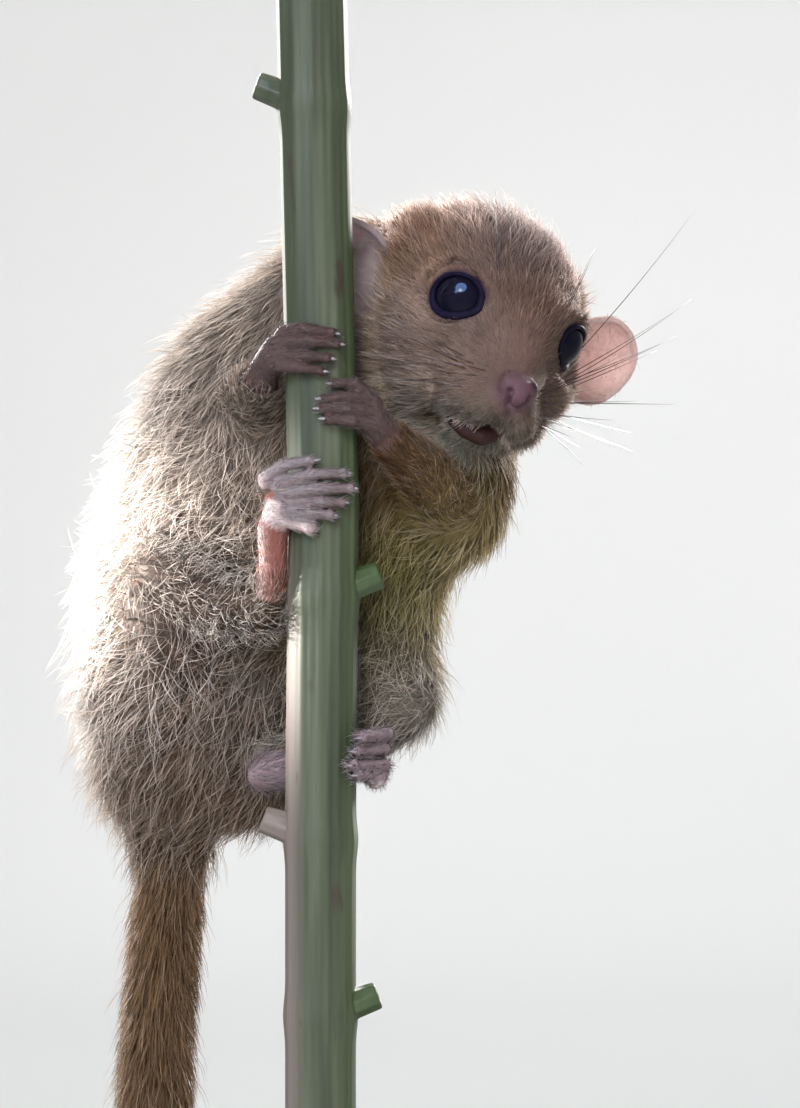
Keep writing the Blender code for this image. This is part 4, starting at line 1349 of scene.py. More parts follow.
    def piece(
        self, tufts: Tufts, lines: np.ndarray, kind: TuftKind, name: str, finish: bpy.types.Material
    ) -> bpy.types.Object:
        """Join tufts into one mesh with its colours and its bake map.

        Args:
            tufts: The tufts.
            lines: Middles of their rings and tips.
            kind: How finely they are built.
            name: The piece's name.
            finish: The hair's material.

        Returns:
            The piece.
        """
        count = len(tufts.length)
        rings = kind.value
        size = rings * 3 + 1
        side = np.cross(tufts.normal, tufts.lie)
        verts = np.empty((count, size, 3))
        shade = np.empty((count, size, 4))
        for ring, level in enumerate(kind.levels()):
            half = tufts.width * 0.5 * (1.0 - level) ** 0.55
            for corner, angle in enumerate(turns(3)):
                offset = side * math.cos(angle) + tufts.normal * (0.7 * math.sin(angle))
                verts[:, ring * 3 + corner] = lines[:, ring] + offset * half[:, None]
                shade[:, ring * 3 + corner] = self.shaded(tufts, level)
        verts[:, -1] = lines[:, -1]
        shade[:, -1] = self.shaded(tufts, 1.0)
        faces, patch = self.tuft_faces(rings)
        corners = (faces[None] + (np.arange(count) * size)[:, None, None]).reshape(-1)
        places = (tufts.bake_place[:, None, :] + patch.reshape(-1, 2)[None] * self.bake_patch).reshape(-1)
        mesh = bpy.data.meshes.new(name)
        mesh.vertices.add(count * size)
        mesh.vertices.foreach_set("co", (verts.reshape(-1) * METRES).astype(np.float32))
        mesh.loops.add(len(corners))
        mesh.loops.foreach_set("vertex_index", corners.astype(np.int32))
        mesh.polygons.add(len(corners) // 3)
        mesh.polygons.foreach_set("loop_start", np.arange(0, len(corners), 3, dtype=np.int32))
        mesh.update(calc_edges=True)
        layer = mesh.uv_layers.new(name="OFBake")
        layer.data.foreach_set("uv", places.astype(np.float32))
        colours = mesh.attributes.new("coat_tone", "FLOAT_COLOR", "POINT")
        colours.data.foreach_set("color", shade.reshape(-1).astype(np.float32))
        return self.bench.dress(self.bench.wrap(mesh, name), finish)

    @staticmethod
    def shaded(tufts: Tufts, level: float) -> np.ndarray:
        """Darken hair towards its slate-grey root and whiten ruffled tips, partly as painted shade and
        highlights.

        Args:
            tufts: The tufts.
            level: From 0 at the root to 1 at the tip.

        Returns:
            Colours with a fourth number of 1.
        """
        ruffle = tufts.ruffle[:, None]
        # The dark root is partly the coat's grey base and partly painted shade deep in the coat.
        under = tufts.tone * 0.42
        share = np.clip(0.1 - 0.1 * ruffle + (1.3 - 0.3 * ruffle) * level, 0.0, 1.0)
        mixed = under * (1.0 - share) + tufts.tone * (0.82 + 0.3 * level) * share
        # Whitened tips of ruffled hair are partly pale tips and partly painted highlights of light from
        # behind.
        bright = smoothstep(0.08, 0.3, tufts.tone.mean(axis=1))[:, None]
        white = max(0.0, 1.6 * level - 0.5) * 0.75 * ruffle**1.5 * bright
        mixed = mixed * (1.0 - white) + Tone.WHITE.rgb * white
        return np.concatenate((np.minimum(mixed, 0.95), np.ones((len(mixed), 1))), axis=1)

    @staticmethod
    def tuft_faces(rings: int) -> tuple[np.ndarray, np.ndarray]:
        """List the triangles of one tuft and their corners' places in its bake patch.

        Args:
            rings: Rings of three vertices below the tip.

        Returns:
            The triangles' vertices, and a place for each corner.
        """
        faces = [(2, 1, 0)]
        patch = [((0.0, 0.0), (0.1, 0.0), (0.0, 0.1))]
        for ring in range(rings - 1):
            low, high = ring / rings, (ring + 1) / rings
            for corner in range(3):
                after = (corner + 1) % 3
                a, b = ring * 3 + corner, ring * 3 + after
                c, d = a + 3, b + 3
                left, right = corner / 3, (corner + 1) / 3
                faces += [(a, b, d), (a, d, c)]
                patch.append(((left, low), (right, low), (right, high)))
                patch.append(((left, low), (right, high), (left, high)))
        base = (rings - 1) * 3
        low = (rings - 1) / rings
        for corner in range(3):
            left, right = corner / 3, (corner + 1) / 3
            faces.append((base + corner, base + (corner + 1) % 3, rings * 3))
            patch.append(((left, low), (right, low), ((left + right) / 2, 1.0)))
        return np.array(faces), np.array(patch) - 0.5


WHITE = (1.0, 1.0, 1.0)
BLACK = (0.0, 0.0, 0.0)


@dataclass(frozen=True)
class Grain:
    """Noise on the object's own coordinates, with a scale in bumps in a metre."""

    scale: float
    detail: float = 3.0
    stretch: Point = (1.0, 1.0, 1.0)


class Graph:
    """A short way to write a material's nodes."""

    def __init__(self, name: str) -> None:
        """Start a material with a Principled shader.

        Args:
            name: The material's name.
        """
        self.material = bpy.data.materials.new(name)
        self.material.use_nodes = True
        self.nodes = self.material.node_tree.nodes
        self.links = self.material.node_tree.links
        self.shader = self.nodes["Principled BSDF"]
        self.output = self.nodes["Material Output"]

    def add(self, kind: str, **values: object) -> bpy.types.Node:
        """Add a node and set its properties and inputs.

        Args:
            kind: The node's type.
            **values: Properties, or inputs with their spaces written as underscores.

        Returns:
            The node.
        """
        node = self.nodes.new(kind)
        for name, value in values.items():
            if hasattr(node, name):
                setattr(node, name, value)
            else:
                node.inputs[name.replace("_", " ")].default_value = value
        return node

    def link(self, start: bpy.types.NodeSocket, end: bpy.types.NodeSocket) -> None:
        """Join a socket that gives to one that takes."""
        self.links.new(start, end)

    def shade(self, name: str, value: object) -> None:
        """Set an input of the shader to a socket or a number.

        Args:
            name: The input's name.
            value: The socket or the number.
        """
        if isinstance(value, bpy.types.NodeSocket):
            self.link(value, self.shader.inputs[name])
        else:
            self.shader.inputs[name].default_value = value

    def coordinates(self) -> bpy.types.NodeSocket:
        """Give the object's own coordinates."""
        return self.add("ShaderNodeTexCoord").outputs["Object"]

    def stretched(self, factors: Point) -> bpy.types.NodeSocket:
        """Give the object's own coordinates, stretched.

        Args:
            factors: Factors on the three coordinates.

        Returns:
            The stretched coordinates.
        """
        place = self.add("ShaderNodeMapping", Scale=factors)
        self.link(self.coordinates(), place.inputs["Vector"])
        return place.outputs["Vector"]

    def noise(self, grain: Grain) -> bpy.types.NodeSocket:
        """Add noise.

        Args:
            grain: How fine it is.

        Returns:
            Its factor.
        """
        made = self.add("ShaderNodeTexNoise", Scale=grain.scale, Detail=grain.detail)
        self.link(self.stretched(grain.stretch), made.inputs["Vector"])
        return made.outputs["Fac"]

    def ramp(self, factor: bpy.types.NodeSocket, *stops: tuple[float, Point]) -> bpy.types.NodeSocket:
        """Map a factor to colours.

        Args:
            factor: What is mapped.
            *stops: Places from 0 to 1 with their colours.

        Returns:
            The colour.
        """
        node = self.add("ShaderNodeValToRGB")
        band = node.color_ramp
        while len(band.elements) < len(stops):
            band.elements.new(0.5)
        for element, (place, colour) in zip(band.elements, stops):
            element.position = place
            element.color = (*colour, 1.0)
        self.link(factor, node.inputs["Fac"])
        return node.outputs["Color"]

    def mix(self, factor: object, first: object, second: object, mode: str = "MIX") -> bpy.types.NodeSocket:
        """Mix two colours.

        Args:
            factor: A socket or a number.
            first: A socket or a colour.
            second: A socket or a colour.
            mode: How they are mixed.

        Returns:
            The mixed colour.
        """
        node = self.add("ShaderNodeMix", data_type="RGBA", blend_type=mode)
        for socket, value in ((node.inputs[0], factor), (node.inputs[6], first), (node.inputs[7], second)):
            if isinstance(value, bpy.types.NodeSocket):
                self.link(value, socket)
            elif isinstance(value, float):
                socket.default_value = value
            else:
                socket.default_value = (*value, 1.0)
        return node.outputs[2]

    def times(self, first: object, second: object) -> bpy.types.NodeSocket:
        """Multiply two colours."""
        return self.mix(1.0, first, second, "MULTIPLY")

    def span(self, factor: bpy.types.NodeSocket, low: float, high: float) -> bpy.types.NodeSocket:
        """Map a factor from 0 to 1 to a range.

        Args:
            factor: What is mapped.
            low: What 0 becomes.
            high: What 1 becomes.

        Returns:
            The mapped number.
        """
        node = self.add("ShaderNodeMapRange", To_Min=low, To_Max=high)
        self.link(factor, node.inputs["Value"])
        return node.outputs["Result"]

    def bump(self, height: bpy.types.NodeSocket, strength: float, distance: float) -> None:
        """Roughen the surface.

        Args:
            height: The relief.
            strength: How strong it is.
            distance: Its height in metres.
        """
        node = self.add("ShaderNodeBump", Strength=strength, Distance=distance)
        self.link(height, node.inputs["Height"])
        self.shade("Normal", node.outputs["Normal"])

    def glow_through(self, colour: bpy.types.NodeSocket, share: float) -> None:
        """Let some light pass through the surface.

        Args:
            colour: Colour of that light.
            share: How much of it passes.
        """
        thin = self.add("ShaderNodeBsdfTranslucent")
        both = self.add("ShaderNodeMixShader", Fac=share)
        self.link(colour, thin.inputs["Color"])
        self.link(self.shader.outputs["BSDF"], both.inputs[1])
        self.link(thin.outputs["BSDF"], both.inputs[2])
        self.link(both.outputs["Shader"], self.output.inputs["Surface"])


@dataclass(frozen=True)
class Finish:
    """A finish whose colour and roughness vary with noise.

    Args:
        name: The material's name.
        grain: Noise that varies the colour.
        stops: Places on that noise from 0 to 1 with their colours.
        tones: The attribute with the piece's own colours, which the stops then shade.
        wear: Noise that varies the roughness.
        rough: Least and most roughness.
        relief: Noise that roughens the surface.
        bumps: Strength and height in metres of that relief.
        through: How much light passes.
        settings: Other inputs of the shader by name.
    """

    name: str
    grain: Grain
    stops: tuple[tuple[float, Point], ...]
    tones: str = ""
    wear: Grain | None = None
    rough: tuple[float, float] = (0.5, 0.5)
    relief: Grain | None = None
    bumps: tuple[float, float] = (0.0, 0.0)
    through: float = 0.0
    settings: tuple[tuple[str, float], ...] = ()

    def colour(self, graph: Graph) -> bpy.types.NodeSocket:
        """Mix the colour.

        Args:
            graph: The material's nodes.

        Returns:
            The colour.
        """
        shade = graph.ramp(graph.noise(self.grain), *self.stops)
        if not self.tones:
            return shade
        own = graph.add("ShaderNodeAttribute", attribute_name=self.tones)
        return graph.times(own.outputs["Color"], shade)

    def make(self) -> bpy.types.Material:
        """Make the material.

        Returns:
            The material.
        """
        graph = Graph(self.name)
        colour = self.colour(graph)
        graph.shade("Base Color", colour)
        if self.wear:
            graph.shade("Roughness", graph.span(graph.noise(self.wear), *self.rough))
        for name, value in self.settings:
            graph.shade(name, value)
        if self.relief:
            graph.bump(graph.noise(self.relief), *self.bumps)
        if self.through:
            graph.glow_through(colour, self.through)
        return graph.material


@dataclass(frozen=True)
class StemBark(Finish):
    """The ribbed grey-green stem with a pale side, a fresh green side and brown flecks.

    Broad makes the sides' borders ragged, and the pale side, partly painted sunlight, fades out between two
    heights.
    """

    broad: Grain = Grain(330.0, 2.0, (1.0, 1.0, 0.06))
    flecks: Grain = Grain(520.0, 3.0, (1.0, 1.0, 0.35))
    middle: float = -2.1
    faded: tuple[float, float] = (0.082, 0.066)
    # Colour of the pale lower left side, partly painted sunlight.
    pale: Point = (0.20, 0.16, 0.135)
    fresh: Point = (0.055, 0.10, 0.028)
    brown: Point = (0.05, 0.035, 0.026)

    def colour(self, graph: Graph) -> bpy.types.NodeSocket:
        """Mix the stem's green with the colours of its sides and its flecks.

        Args:
            graph: The material's nodes.

        Returns:
            The colour.
        """
        place = graph.add("ShaderNodeSeparateXYZ")
        graph.link(graph.coordinates(), place.inputs["Vector"])
        across = graph.add("ShaderNodeMath", operation="MULTIPLY_ADD")
        graph.link(place.outputs["X"], across.inputs[0])
        across.inputs[1].default_value = 1.0 / (2.0 * STEM_RADIUS * METRES)
        across.inputs[2].default_value = 0.5 - self.middle / (2.0 * STEM_RADIUS)
        ragged = graph.mix(0.12, across.outputs["Value"], graph.noise(self.broad))
        left = graph.ramp(ragged, (0.12, WHITE), (0.30, BLACK))
        right = graph.ramp(ragged, (0.72, BLACK), (0.95, WHITE))
        lower = graph.add("ShaderNodeMapRange", From_Min=self.faded[0], From_Max=self.faded[1])
        graph.link(place.outputs["Z"], lower.inputs["Value"])
        green = super().colour(graph)
        # The pale lower left side is partly painted sunlight.
        colour = graph.mix(graph.times(left, lower.outputs["Result"]), green, self.pale)
        colour = graph.mix(graph.times(right, (0.55, 0.55, 0.55)), colour, self.fresh)
        flecked = graph.ramp(graph.noise(self.flecks), (0.66, BLACK), (0.74, WHITE))
        return graph.mix(flecked, colour, self.brown)


@dataclass(frozen=True)
class TurnedWood(Finish):
    """The base's oiled dark wood. Its rings have a scale, a distortion and a detail."""

    stretch: Point = (1.0, 7.0, 7.0)
    rings: tuple[float, float, float] = (26.0, 7.0, 4.0)
    pore: Point = (0.09, 0.045, 0.02)

    def colour(self, graph: Graph) -> bpy.types.NodeSocket:
        """Mix the colours of the rings with that of the pores.

        Args:
            graph: The material's nodes.

        Returns:
            The colour.
        """
        scale, distortion, detail = self.rings
        wave = graph.add("ShaderNodeTexWave", Scale=scale, Distortion=distortion, Detail=detail)
        wave.bands_direction = "Y"
        graph.link(graph.stretched(self.stretch), wave.inputs["Vector"])
        rings = graph.ramp(wave.outputs["Fac"], *self.stops)
        return graph.mix(graph.span(graph.noise(self.grain), 0.0, 0.45), rings, self.pore)


STEM_FIBRES = Grain(900.0, 5.0, (1.0, 1.0, 0.045))
BRUSHED = Grain(2400.0, 4.0, (1.0, 1.0, 0.03))
WOOD_PORES = Grain(1600.0, 4.0, (0.06, 1.0, 1.0))

HAIR = Finish(
    "coat_hair",
    Grain(700.0),
    ((0.3, (0.88, 0.87, 0.86)), (0.7, WHITE)),
    tones="coat_tone",
    wear=Grain(1500.0),
    rough=(0.55, 0.75),
    through=0.38,
    settings=(("Specular IOR Level", 0.22), ("Sheen Weight", 0.06), ("Sheen Roughness", 0.4)),
)
BARE_SKIN = Finish(
    "skin",
    Grain(2200.0, 4.0),
    ((0.3, (0.8, 0.76, 0.76)), (0.7, WHITE)),
    tones="skin_tone",
    wear=Grain(900.0),
    rough=(0.48, 0.68),
    relief=Grain(5200.0, 5.0),
    bumps=(0.25, 0.00006),
    through=0.3,
    settings=(("Specular IOR Level", 0.24), ("Subsurface Weight", 0.12), ("Subsurface Scale", 0.001)),
)
WET_EYE = Finish(
    "eye_black",
    Grain(500.0),
    ((0.35, (0.002, 0.003, 0.010)), (0.75, (0.008, 0.007, 0.016))),
    wear=Grain(300.0),
    rough=(0.02, 0.06),
    settings=(("IOR", 1.34), ("Specular IOR Level", 0.22)),
)
LID_RIM = Finish(
    "lid_rim",
    Grain(2600.0, 4.0),
    ((0.3, (0.002, 0.0015, 0.006)), (0.75, (0.012, 0.008, 0.030))),
    wear=Grain(1800.0),
    rough=(0.55, 0.7),
    relief=Grain(6000.0, 4.0),
    bumps=(0.3, 0.00005),
    settings=(("Specular IOR Level", 0.1),),
)
WHISKER_HAIR = Finish(
    "whisker",
    Grain(1200.0),
    ((0.3, (0.8, 0.8, 0.8)), (0.7, WHITE)),
    tones="coat_tone",
    wear=Grain(900.0),
    rough=(0.25, 0.4),
)
CLAW_HORN = Finish(
    "claw_horn",
    Grain(2600.0),
    ((0.3, (0.42, 0.38, 0.42)), (0.7, (0.66, 0.62, 0.64))),
    wear=Grain(1500.0),
    rough=(0.25, 0.4),
)
STEM_BARK = StemBark(
    "stem_bark",
    STEM_FIBRES,
    ((0.28, (0.036, 0.046, 0.026)), (0.5, (0.060, 0.074, 0.041)), (0.72, (0.10, 0.114, 0.070))),
    wear=STEM_FIBRES,
    rough=(0.42, 0.66),
    relief=STEM_FIBRES,
    bumps=(0.5, 0.0002),
)
ROD_BRASS = Finish(
    "rod_brass",
    BRUSHED,
    ((0.3, (0.46, 0.31, 0.12)), (0.7, (0.68, 0.48, 0.21))),
    wear=BRUSHED,
    rough=(0.2, 0.42),
    relief=BRUSHED,
    bumps=(0.2, 0.00004),
    settings=(("Metallic", 1.0),),
)
BASE_WOOD = TurnedWood(
    "base_wood",
    WOOD_PORES,
    ((0.1, (0.060, 0.028, 0.013)), (0.6, (0.092, 0.044, 0.020)), (0.95, (0.12, 0.060, 0.028))),
    wear=WOOD_PORES,
    rough=(0.3, 0.5),
    relief=WOOD_PORES,
    bumps=(0.25, 0.00008),
)
STUDIO_FLOOR = Finish(
    "studio_floor",
    Grain(3.0, 2.0),
    ((0.3, (0.80, 0.81, 0.80)), (0.7, (0.86, 0.87, 0.86))),
    settings=(("Roughness", 0.9),),
)


@dataclass(frozen=True)
class Eye:
    """One eye with the dark rim of its lids. Its angles are in radians."""

    side: int
    bench: Workbench
    cornea_bulge: float = 0.05
    rim_steps: int = 96
    rim_facets: int = 20
    nose_corner: float = 0.62
    nose_corner_width: float = 0.34
    rim_depth: float = 0.14

    @property
    def word(self) -> str:
        """Name the side."""
        return "left" if self.side > 0 else "right"

    def ball(self, finish: bpy.types.Material) -> bpy.types.Object:
        """Make the eyeball with its bulging cornea.

        Args:
            finish: The eye's material.

        Returns:
            The piece.
        """
        gaze = Vector(eye_axes(self.side)[2])
        builder = bmesh.new()
        bmesh.ops.create_icosphere(builder, subdivisions=6, radius=EYE_RADIUS)
        for vert in builder.verts:
            facing = vert.co.normalized().dot(gaze)
            vert.co *= 1.0 + self.cornea_bulge * max(0.0, (facing - 0.55) / 0.45) ** 1.5
        bmesh.ops.translate(builder, vec=Vector(eye_centre(self.side)), verts=builder.verts)
        return self.bench.dress(self.bench.from_bmesh(builder, f"eyeball_{self.word}"), finish)

    def rim(self, finish: bpy.types.Material) -> bpy.types.Object:
        """Make the rim of the lids, pointed at the corner towards the nose.

        Args:
            finish: The rim's material.

        Returns:
            The piece.
        """
        nose, up, gaze = (Vector(axis) for axis in eye_axes(self.side))
        builder = bmesh.new()
        rings = []
        for angle in turns(self.rim_steps):
            from_corner = math.remainder(angle + self.nose_corner, 2.0 * math.pi)
            corner = math.exp(-((from_corner / self.nose_corner_width) ** 2))
            reach = Vector((LID_ALONG * math.cos(angle), LID_ACROSS * math.sin(angle), 0.0))
            depth = math.sqrt(max(0.2, LID_SPHERE**2 - reach.length_squared))
            reach = reach * (1.0 + 0.1 * corner)
            middle = nose * reach.x + up * reach.y + gaze * depth
            outward = (nose * reach.x + up * reach.y).normalized()
            thick = 0.22 + 0.04 * corner - 0.07 * math.sin(angle)
            ring = []
            for around in turns(self.rim_facets):
                offset = outward * (math.cos(around) * thick) + gaze * (math.sin(around) * self.rim_depth)
                ring.append(builder.verts.new(Vector(eye_centre(self.side)) + middle + offset))
            rings.append(ring)
        self.bench.tube(builder, rings, endless=True)
        return self.bench.dress(self.bench.from_bmesh(builder, f"lids_{self.word}"), finish)


@dataclass(frozen=True)
class WhiskerPad:
    """How the whiskers of one side rise from the bottom row to the top one, and their size."""

    side: int
    top: float
    bottom: float
    size: float


@dataclass
class Whiskers:
    """The whiskers of both sides, the hairs over the eyes and the short fringe of the lips.

    Thick and tip are half-widths, brows are the roots of the hairs over an eye, and fringe is how
    many hairs the lip has a side.
    """

    bench: Workbench
    pads: tuple[WhiskerPad, ...] = (WhiskerPad(1, 0.95, -0.15, 1.25), WhiskerPad(-1, 0.05, -0.6, 0.6))
    rows: int = 5
    columns: int = 4
    brows: tuple[Point, ...] = ((4.6, 2.9, 3.1), (5.0, 2.6, 2.7))
    fringe: int = 36
    thick: float = 0.034
    tip: float = 0.009
    facets: int = 5
    dark: Point = (0.04, 0.014, 0.012)
    silver: Point = (0.45, 0.43, 0.42)
    draw: np.random.Generator = field(default_factory=lambda: np.random.default_rng(SEED + 2))

    def build(self, finish: bpy.types.Material) -> bpy.types.Object:
        """Make all whiskers as one piece.

        Args:
            finish: The whiskers' material.

        Returns:
            The piece.
        """
        draw = self.draw
        builder = bmesh.new()
        builder.verts.layers.float_color.new("coat_tone")
        for pad in self.pads:
            for row in range(self.rows):
                rise = pad.top + (pad.bottom - pad.top) * row / (self.rows - 1)
                for column in range(self.columns):
                    root = np.array((8.5 - 0.9 * column, 2.1 + 0.5 * column, -2.5 - 0.5 * row))
                    out = unit(np.array((-0.2 - 0.15 * column, 1.0, rise)) + draw.normal(size=3) * 0.13)
                    length = (4.0 + 3.4 * column) * draw.uniform(0.8, 1.2) * pad.size
                    self.hair(builder, root, out, length, pad.side, self.thick)
            for root in self.brows:
                self.hair(builder, np.array(root), unit(np.array((-0.6, 0.3, 0.9))), 6.0, pad.side, 0.026)
            mouth = np.array(FACE_STROKES[2].path)
            for share in np.linspace(0.9, 2.7, self.fringe):
                root = np.array([np.interp(share, range(len(mouth)), mouth[:, k]) for k in range(3)])
                root += np.array((0.05, 0.05, draw.uniform(0.1, 0.6)))
                out = unit(np.array((0.05, 0.25, -1.0)) + draw.normal(size=3) * 0.32)
                self.hair(builder, root, out, draw.uniform(0.5, 0.9), pad.side, 0.006, True)
        return self.bench.dress(self.bench.from_bmesh(builder, "whiskers"), finish)

    def hair(
        self,
        builder: bmesh.types.BMesh,
        root: np.ndarray,
        out: np.ndarray,
        length: float,
        side: int,
        thick: float,
        pale: bool = False,
    ) -> None:
        """Add one curved, tapering hair.

        Args:
            builder: The mesh that it goes into.
            root: Where it leaves the skin, on the left side.
            out: The way it goes.
            length: Its length.
            side: 1 for left and -1 for right.
            thick: Half its width at the root.
            pale: Whether it is short and has the cheek's colour from its root on.
        """
        steps = 6 if pale else 14
        start = Tone.CHEEK.rgb * 0.6 if pale else np.array(self.dark)
        layer = builder.verts.layers.float_color["coat_tone"]
        sweep = np.array((-0.5, 0.0, self.draw.uniform(-0.25, 0.1))) * self.draw.uniform(0.5, 1.0)
        across = unit(np.cross(out, np.array((0.0, 0.0, 1.0))))
        over = np.cross(across, out)
        rings = []
        for step in range(steps):
            share = step / (steps - 1)
            middle = root + out * length * share + sweep * length * 0.35 * share**2
            half = thick * (1.0 - share) ** 0.7 + self.tip
            tone = start + np.array(self.silver) * max(0.0, share * 2.0 - 1.0) ** 1.2
            ring = []
            for angle in turns(self.facets):
                point = middle + (across * math.cos(angle) + over * math.sin(angle)) * half
                vert = builder.verts.new(from_head(mirrored(point, side)))
                vert[layer] = (*tone, 1.0)
                ring.append(vert)
            rings.append(ring)
        self.bench.tube(builder, rings)


@dataclass(frozen=True)
class Claws:
    """The small pale claws at the ends of the digits, hooked towards the stem."""

    bench: Workbench
    length: float = 0.6
    radius: float = 0.15
    hook: float = 0.42

    def build(self, finish: bpy.types.Material) -> bpy.types.Object:
        """Make all claws as one piece.

        Args:
            finish: The claws' material.

        Returns:
            The piece.
        """
        builder = bmesh.new()
        for limb in LIMBS:
            for digit in limb.digits:
                self.claw(builder, digit)
        return self.bench.dress(self.bench.from_bmesh(builder, "claws"), finish)

    def claw(self, builder: bmesh.types.BMesh, digit: Path) -> None:
        """Add one curved claw that bends towards the stem.

        Args:
            builder: The mesh that it goes into.
            digit: The digit's points and half-widths.
        """
        (joint, _), (tip, half) = digit[1:]
        along = (Vector(tip) - Vector(joint)).normalized()
        inward = Vector((stem_middle(np.array(tip[2])) - tip[0], STEM_Y - tip[1], 0.0)).normalized()
        made = bmesh.ops.create_uvsphere(builder, u_segments=12, v_segments=10, radius=1.0)
        side = along.cross(inward).normalized()
        start = Vector(tip) + along * (half * 0.5) - inward * (half * 0.35)
        for vert in made["verts"]:
            share = (vert.co.z + 1.0) / 2
            width = self.radius * (1.0 - share**1.6) ** 0.5
            bend = along * (self.length * share) + inward * (self.hook * self.length * share**2)
            vert.co = start + bend + side * (vert.co.x * width * 0.8) + inward * (vert.co.y * width)


@dataclass(frozen=True)
class Stem:
    """The cut stem with its ribs and the stubs of its leaf stalks.

    A stub's profile is given as places along it with their radii, in to the pith, and its rise as
    the way it points, outward and up.
    """

    bench: Workbench
    rows: int = 330
    facets: int = 120
    ribs: int = 11
    fine_ribs: int = 23
    wander: float = 0.4
    swelling: float = 0.16
    swell_reach: float = 1.3
    stub_facets: int = 48
    stub_profile: tuple[tuple[float, float], ...] = (
        (0.0, 1.55), (1.6, 1.35), (2.6, 1.08), (4.2, 0.98), (4.35, 0.92),
        (4.4, 0.80), (4.38, 0.62), (4.22, 0.5), (4.12, 0.3),
    )
    stub_rise: tuple[float, float] = (0.94, 0.34)

    def build(self, finish: bpy.types.Material) -> bpy.types.Object:
        """Make the stem as one closed piece.

        Args:
            finish: The stem's material.

        Returns:
            The piece.
        """
        builder = bmesh.new()
        low, high = STEM_LINE[0][1], STEM_LINE[-1][1]
        rings = []
        for row in range(self.rows + 1):
            height = low + (high - low) * row / self.rows
            middle = float(stem_middle(np.array(height)))
            swell = sum(
                self.swelling * math.exp(-(((height - place) / self.swell_reach) ** 2)) for place, _ in STUBS
            )
            edge = min(1.0, min(row, self.rows - row) / 2 + 0.9)
            wander = self.wander * math.sin(height / 9.0)
            ring = []
            for angle in turns(self.facets):
                rib = 0.035 * math.sin(angle * self.ribs + wander)
                rib += 0.02 * math.sin(angle * self.fine_ribs + 1.0)
                reach = (STEM_RADIUS - 0.05 + rib + swell) * edge
                point = (middle + reach * math.cos(angle), STEM_Y + reach * math.sin(angle), height)
                ring.append(builder.verts.new(point))
            rings.append(ring)
        self.bench.tube(builder, rings)
        item = self.bench.from_bmesh(builder, "stem")
        for height, side in STUBS:
            self.bench.unite(item, self.stub(float(stem_middle(np.array(height))), height, side))
        return self.bench.dress(item, finish)

    def stub(self, middle: float, height: float, side: int) -> bpy.types.Object:
        """Make the cut-off foot of one leaf stalk, with a flat end and a sunken pith.

        Args:
            middle: X of the stem's middle.
            height: Where it leaves the stem.
            side: 1 where it points to +X and -1 where it points to -X.

        Returns:
            The closed stub.
        """
        out, rise = self.stub_rise
        along = Vector((side * out, 0.0, rise)).normalized()
        across = Vector((0.0, 1.0, 0.0))
        over = along.cross(across)
        builder = bmesh.new()
        rings = []
        for reach, radius in self.stub_profile:
            centre = Vector((middle, STEM_Y, height)) + along * reach
            ring = []
            for angle in turns(self.stub_facets):
                around = across * math.cos(angle) + over * math.sin(angle)
                point = centre + around * radius * (1.0 + 0.03 * math.sin(9 * angle))
                ring.append(builder.verts.new(point))
            rings.append(ring)
        self.bench.tube(builder, rings)
        return self.bench.from_bmesh(builder, "stub")


class Lit(Enum):
    """What a lamp lights."""

    SCENE = "everything"
    MODEL = "the model without the floor"
    EYES = "the eyeballs alone"


WARM = (1.0, 0.97, 0.94)
SKY_BLUE = (0.35, 0.55, 1.0)
GLINT_BLUE = (0.26, 0.46, 1.0)
NEUTRAL = (1.0, 1.0, 1.0)


@dataclass(frozen=True)
class Lamp:
    """One round area light, in metres and watts, whose beam spreads by degrees."""

    name: str
    place: Point
    aim: Point
    size: float
    power: float
    spread: float = 180.0
    colour: Point = WARM
    lights: Lit = Lit.SCENE
    glossy: bool = True
    diffuse: bool = True

    def hang(self, receivers: Sequence[bpy.types.Object]) -> None:
        """Put the lamp into the scene.

        Args:
            receivers: What it lights where it doesn't light everything.
        """
        light = bpy.data.lights.new(self.name, "AREA")
        light.shape = "DISK"
        light.size = self.size
        light.energy = self.power
        light.color = self.colour
        light.spread = math.radians(self.spread)
        holder = bpy.data.objects.new(self.name, light)
        holder.location = self.place
        holder.rotation_euler = (Vector(self.aim) - Vector(self.place)).to_track_quat("-Z", "Y").to_euler()
        holder.visible_glossy = self.glossy
        holder.visible_diffuse = self.diffuse
        bpy.context.scene.collection.objects.link(holder)
        if self.lights is not Lit.SCENE:
            group = bpy.data.collections.new(f"{self.name}_receivers")
            for item in receivers:
                group.objects.link(item)
            holder.light_linking.receiver_collection = group


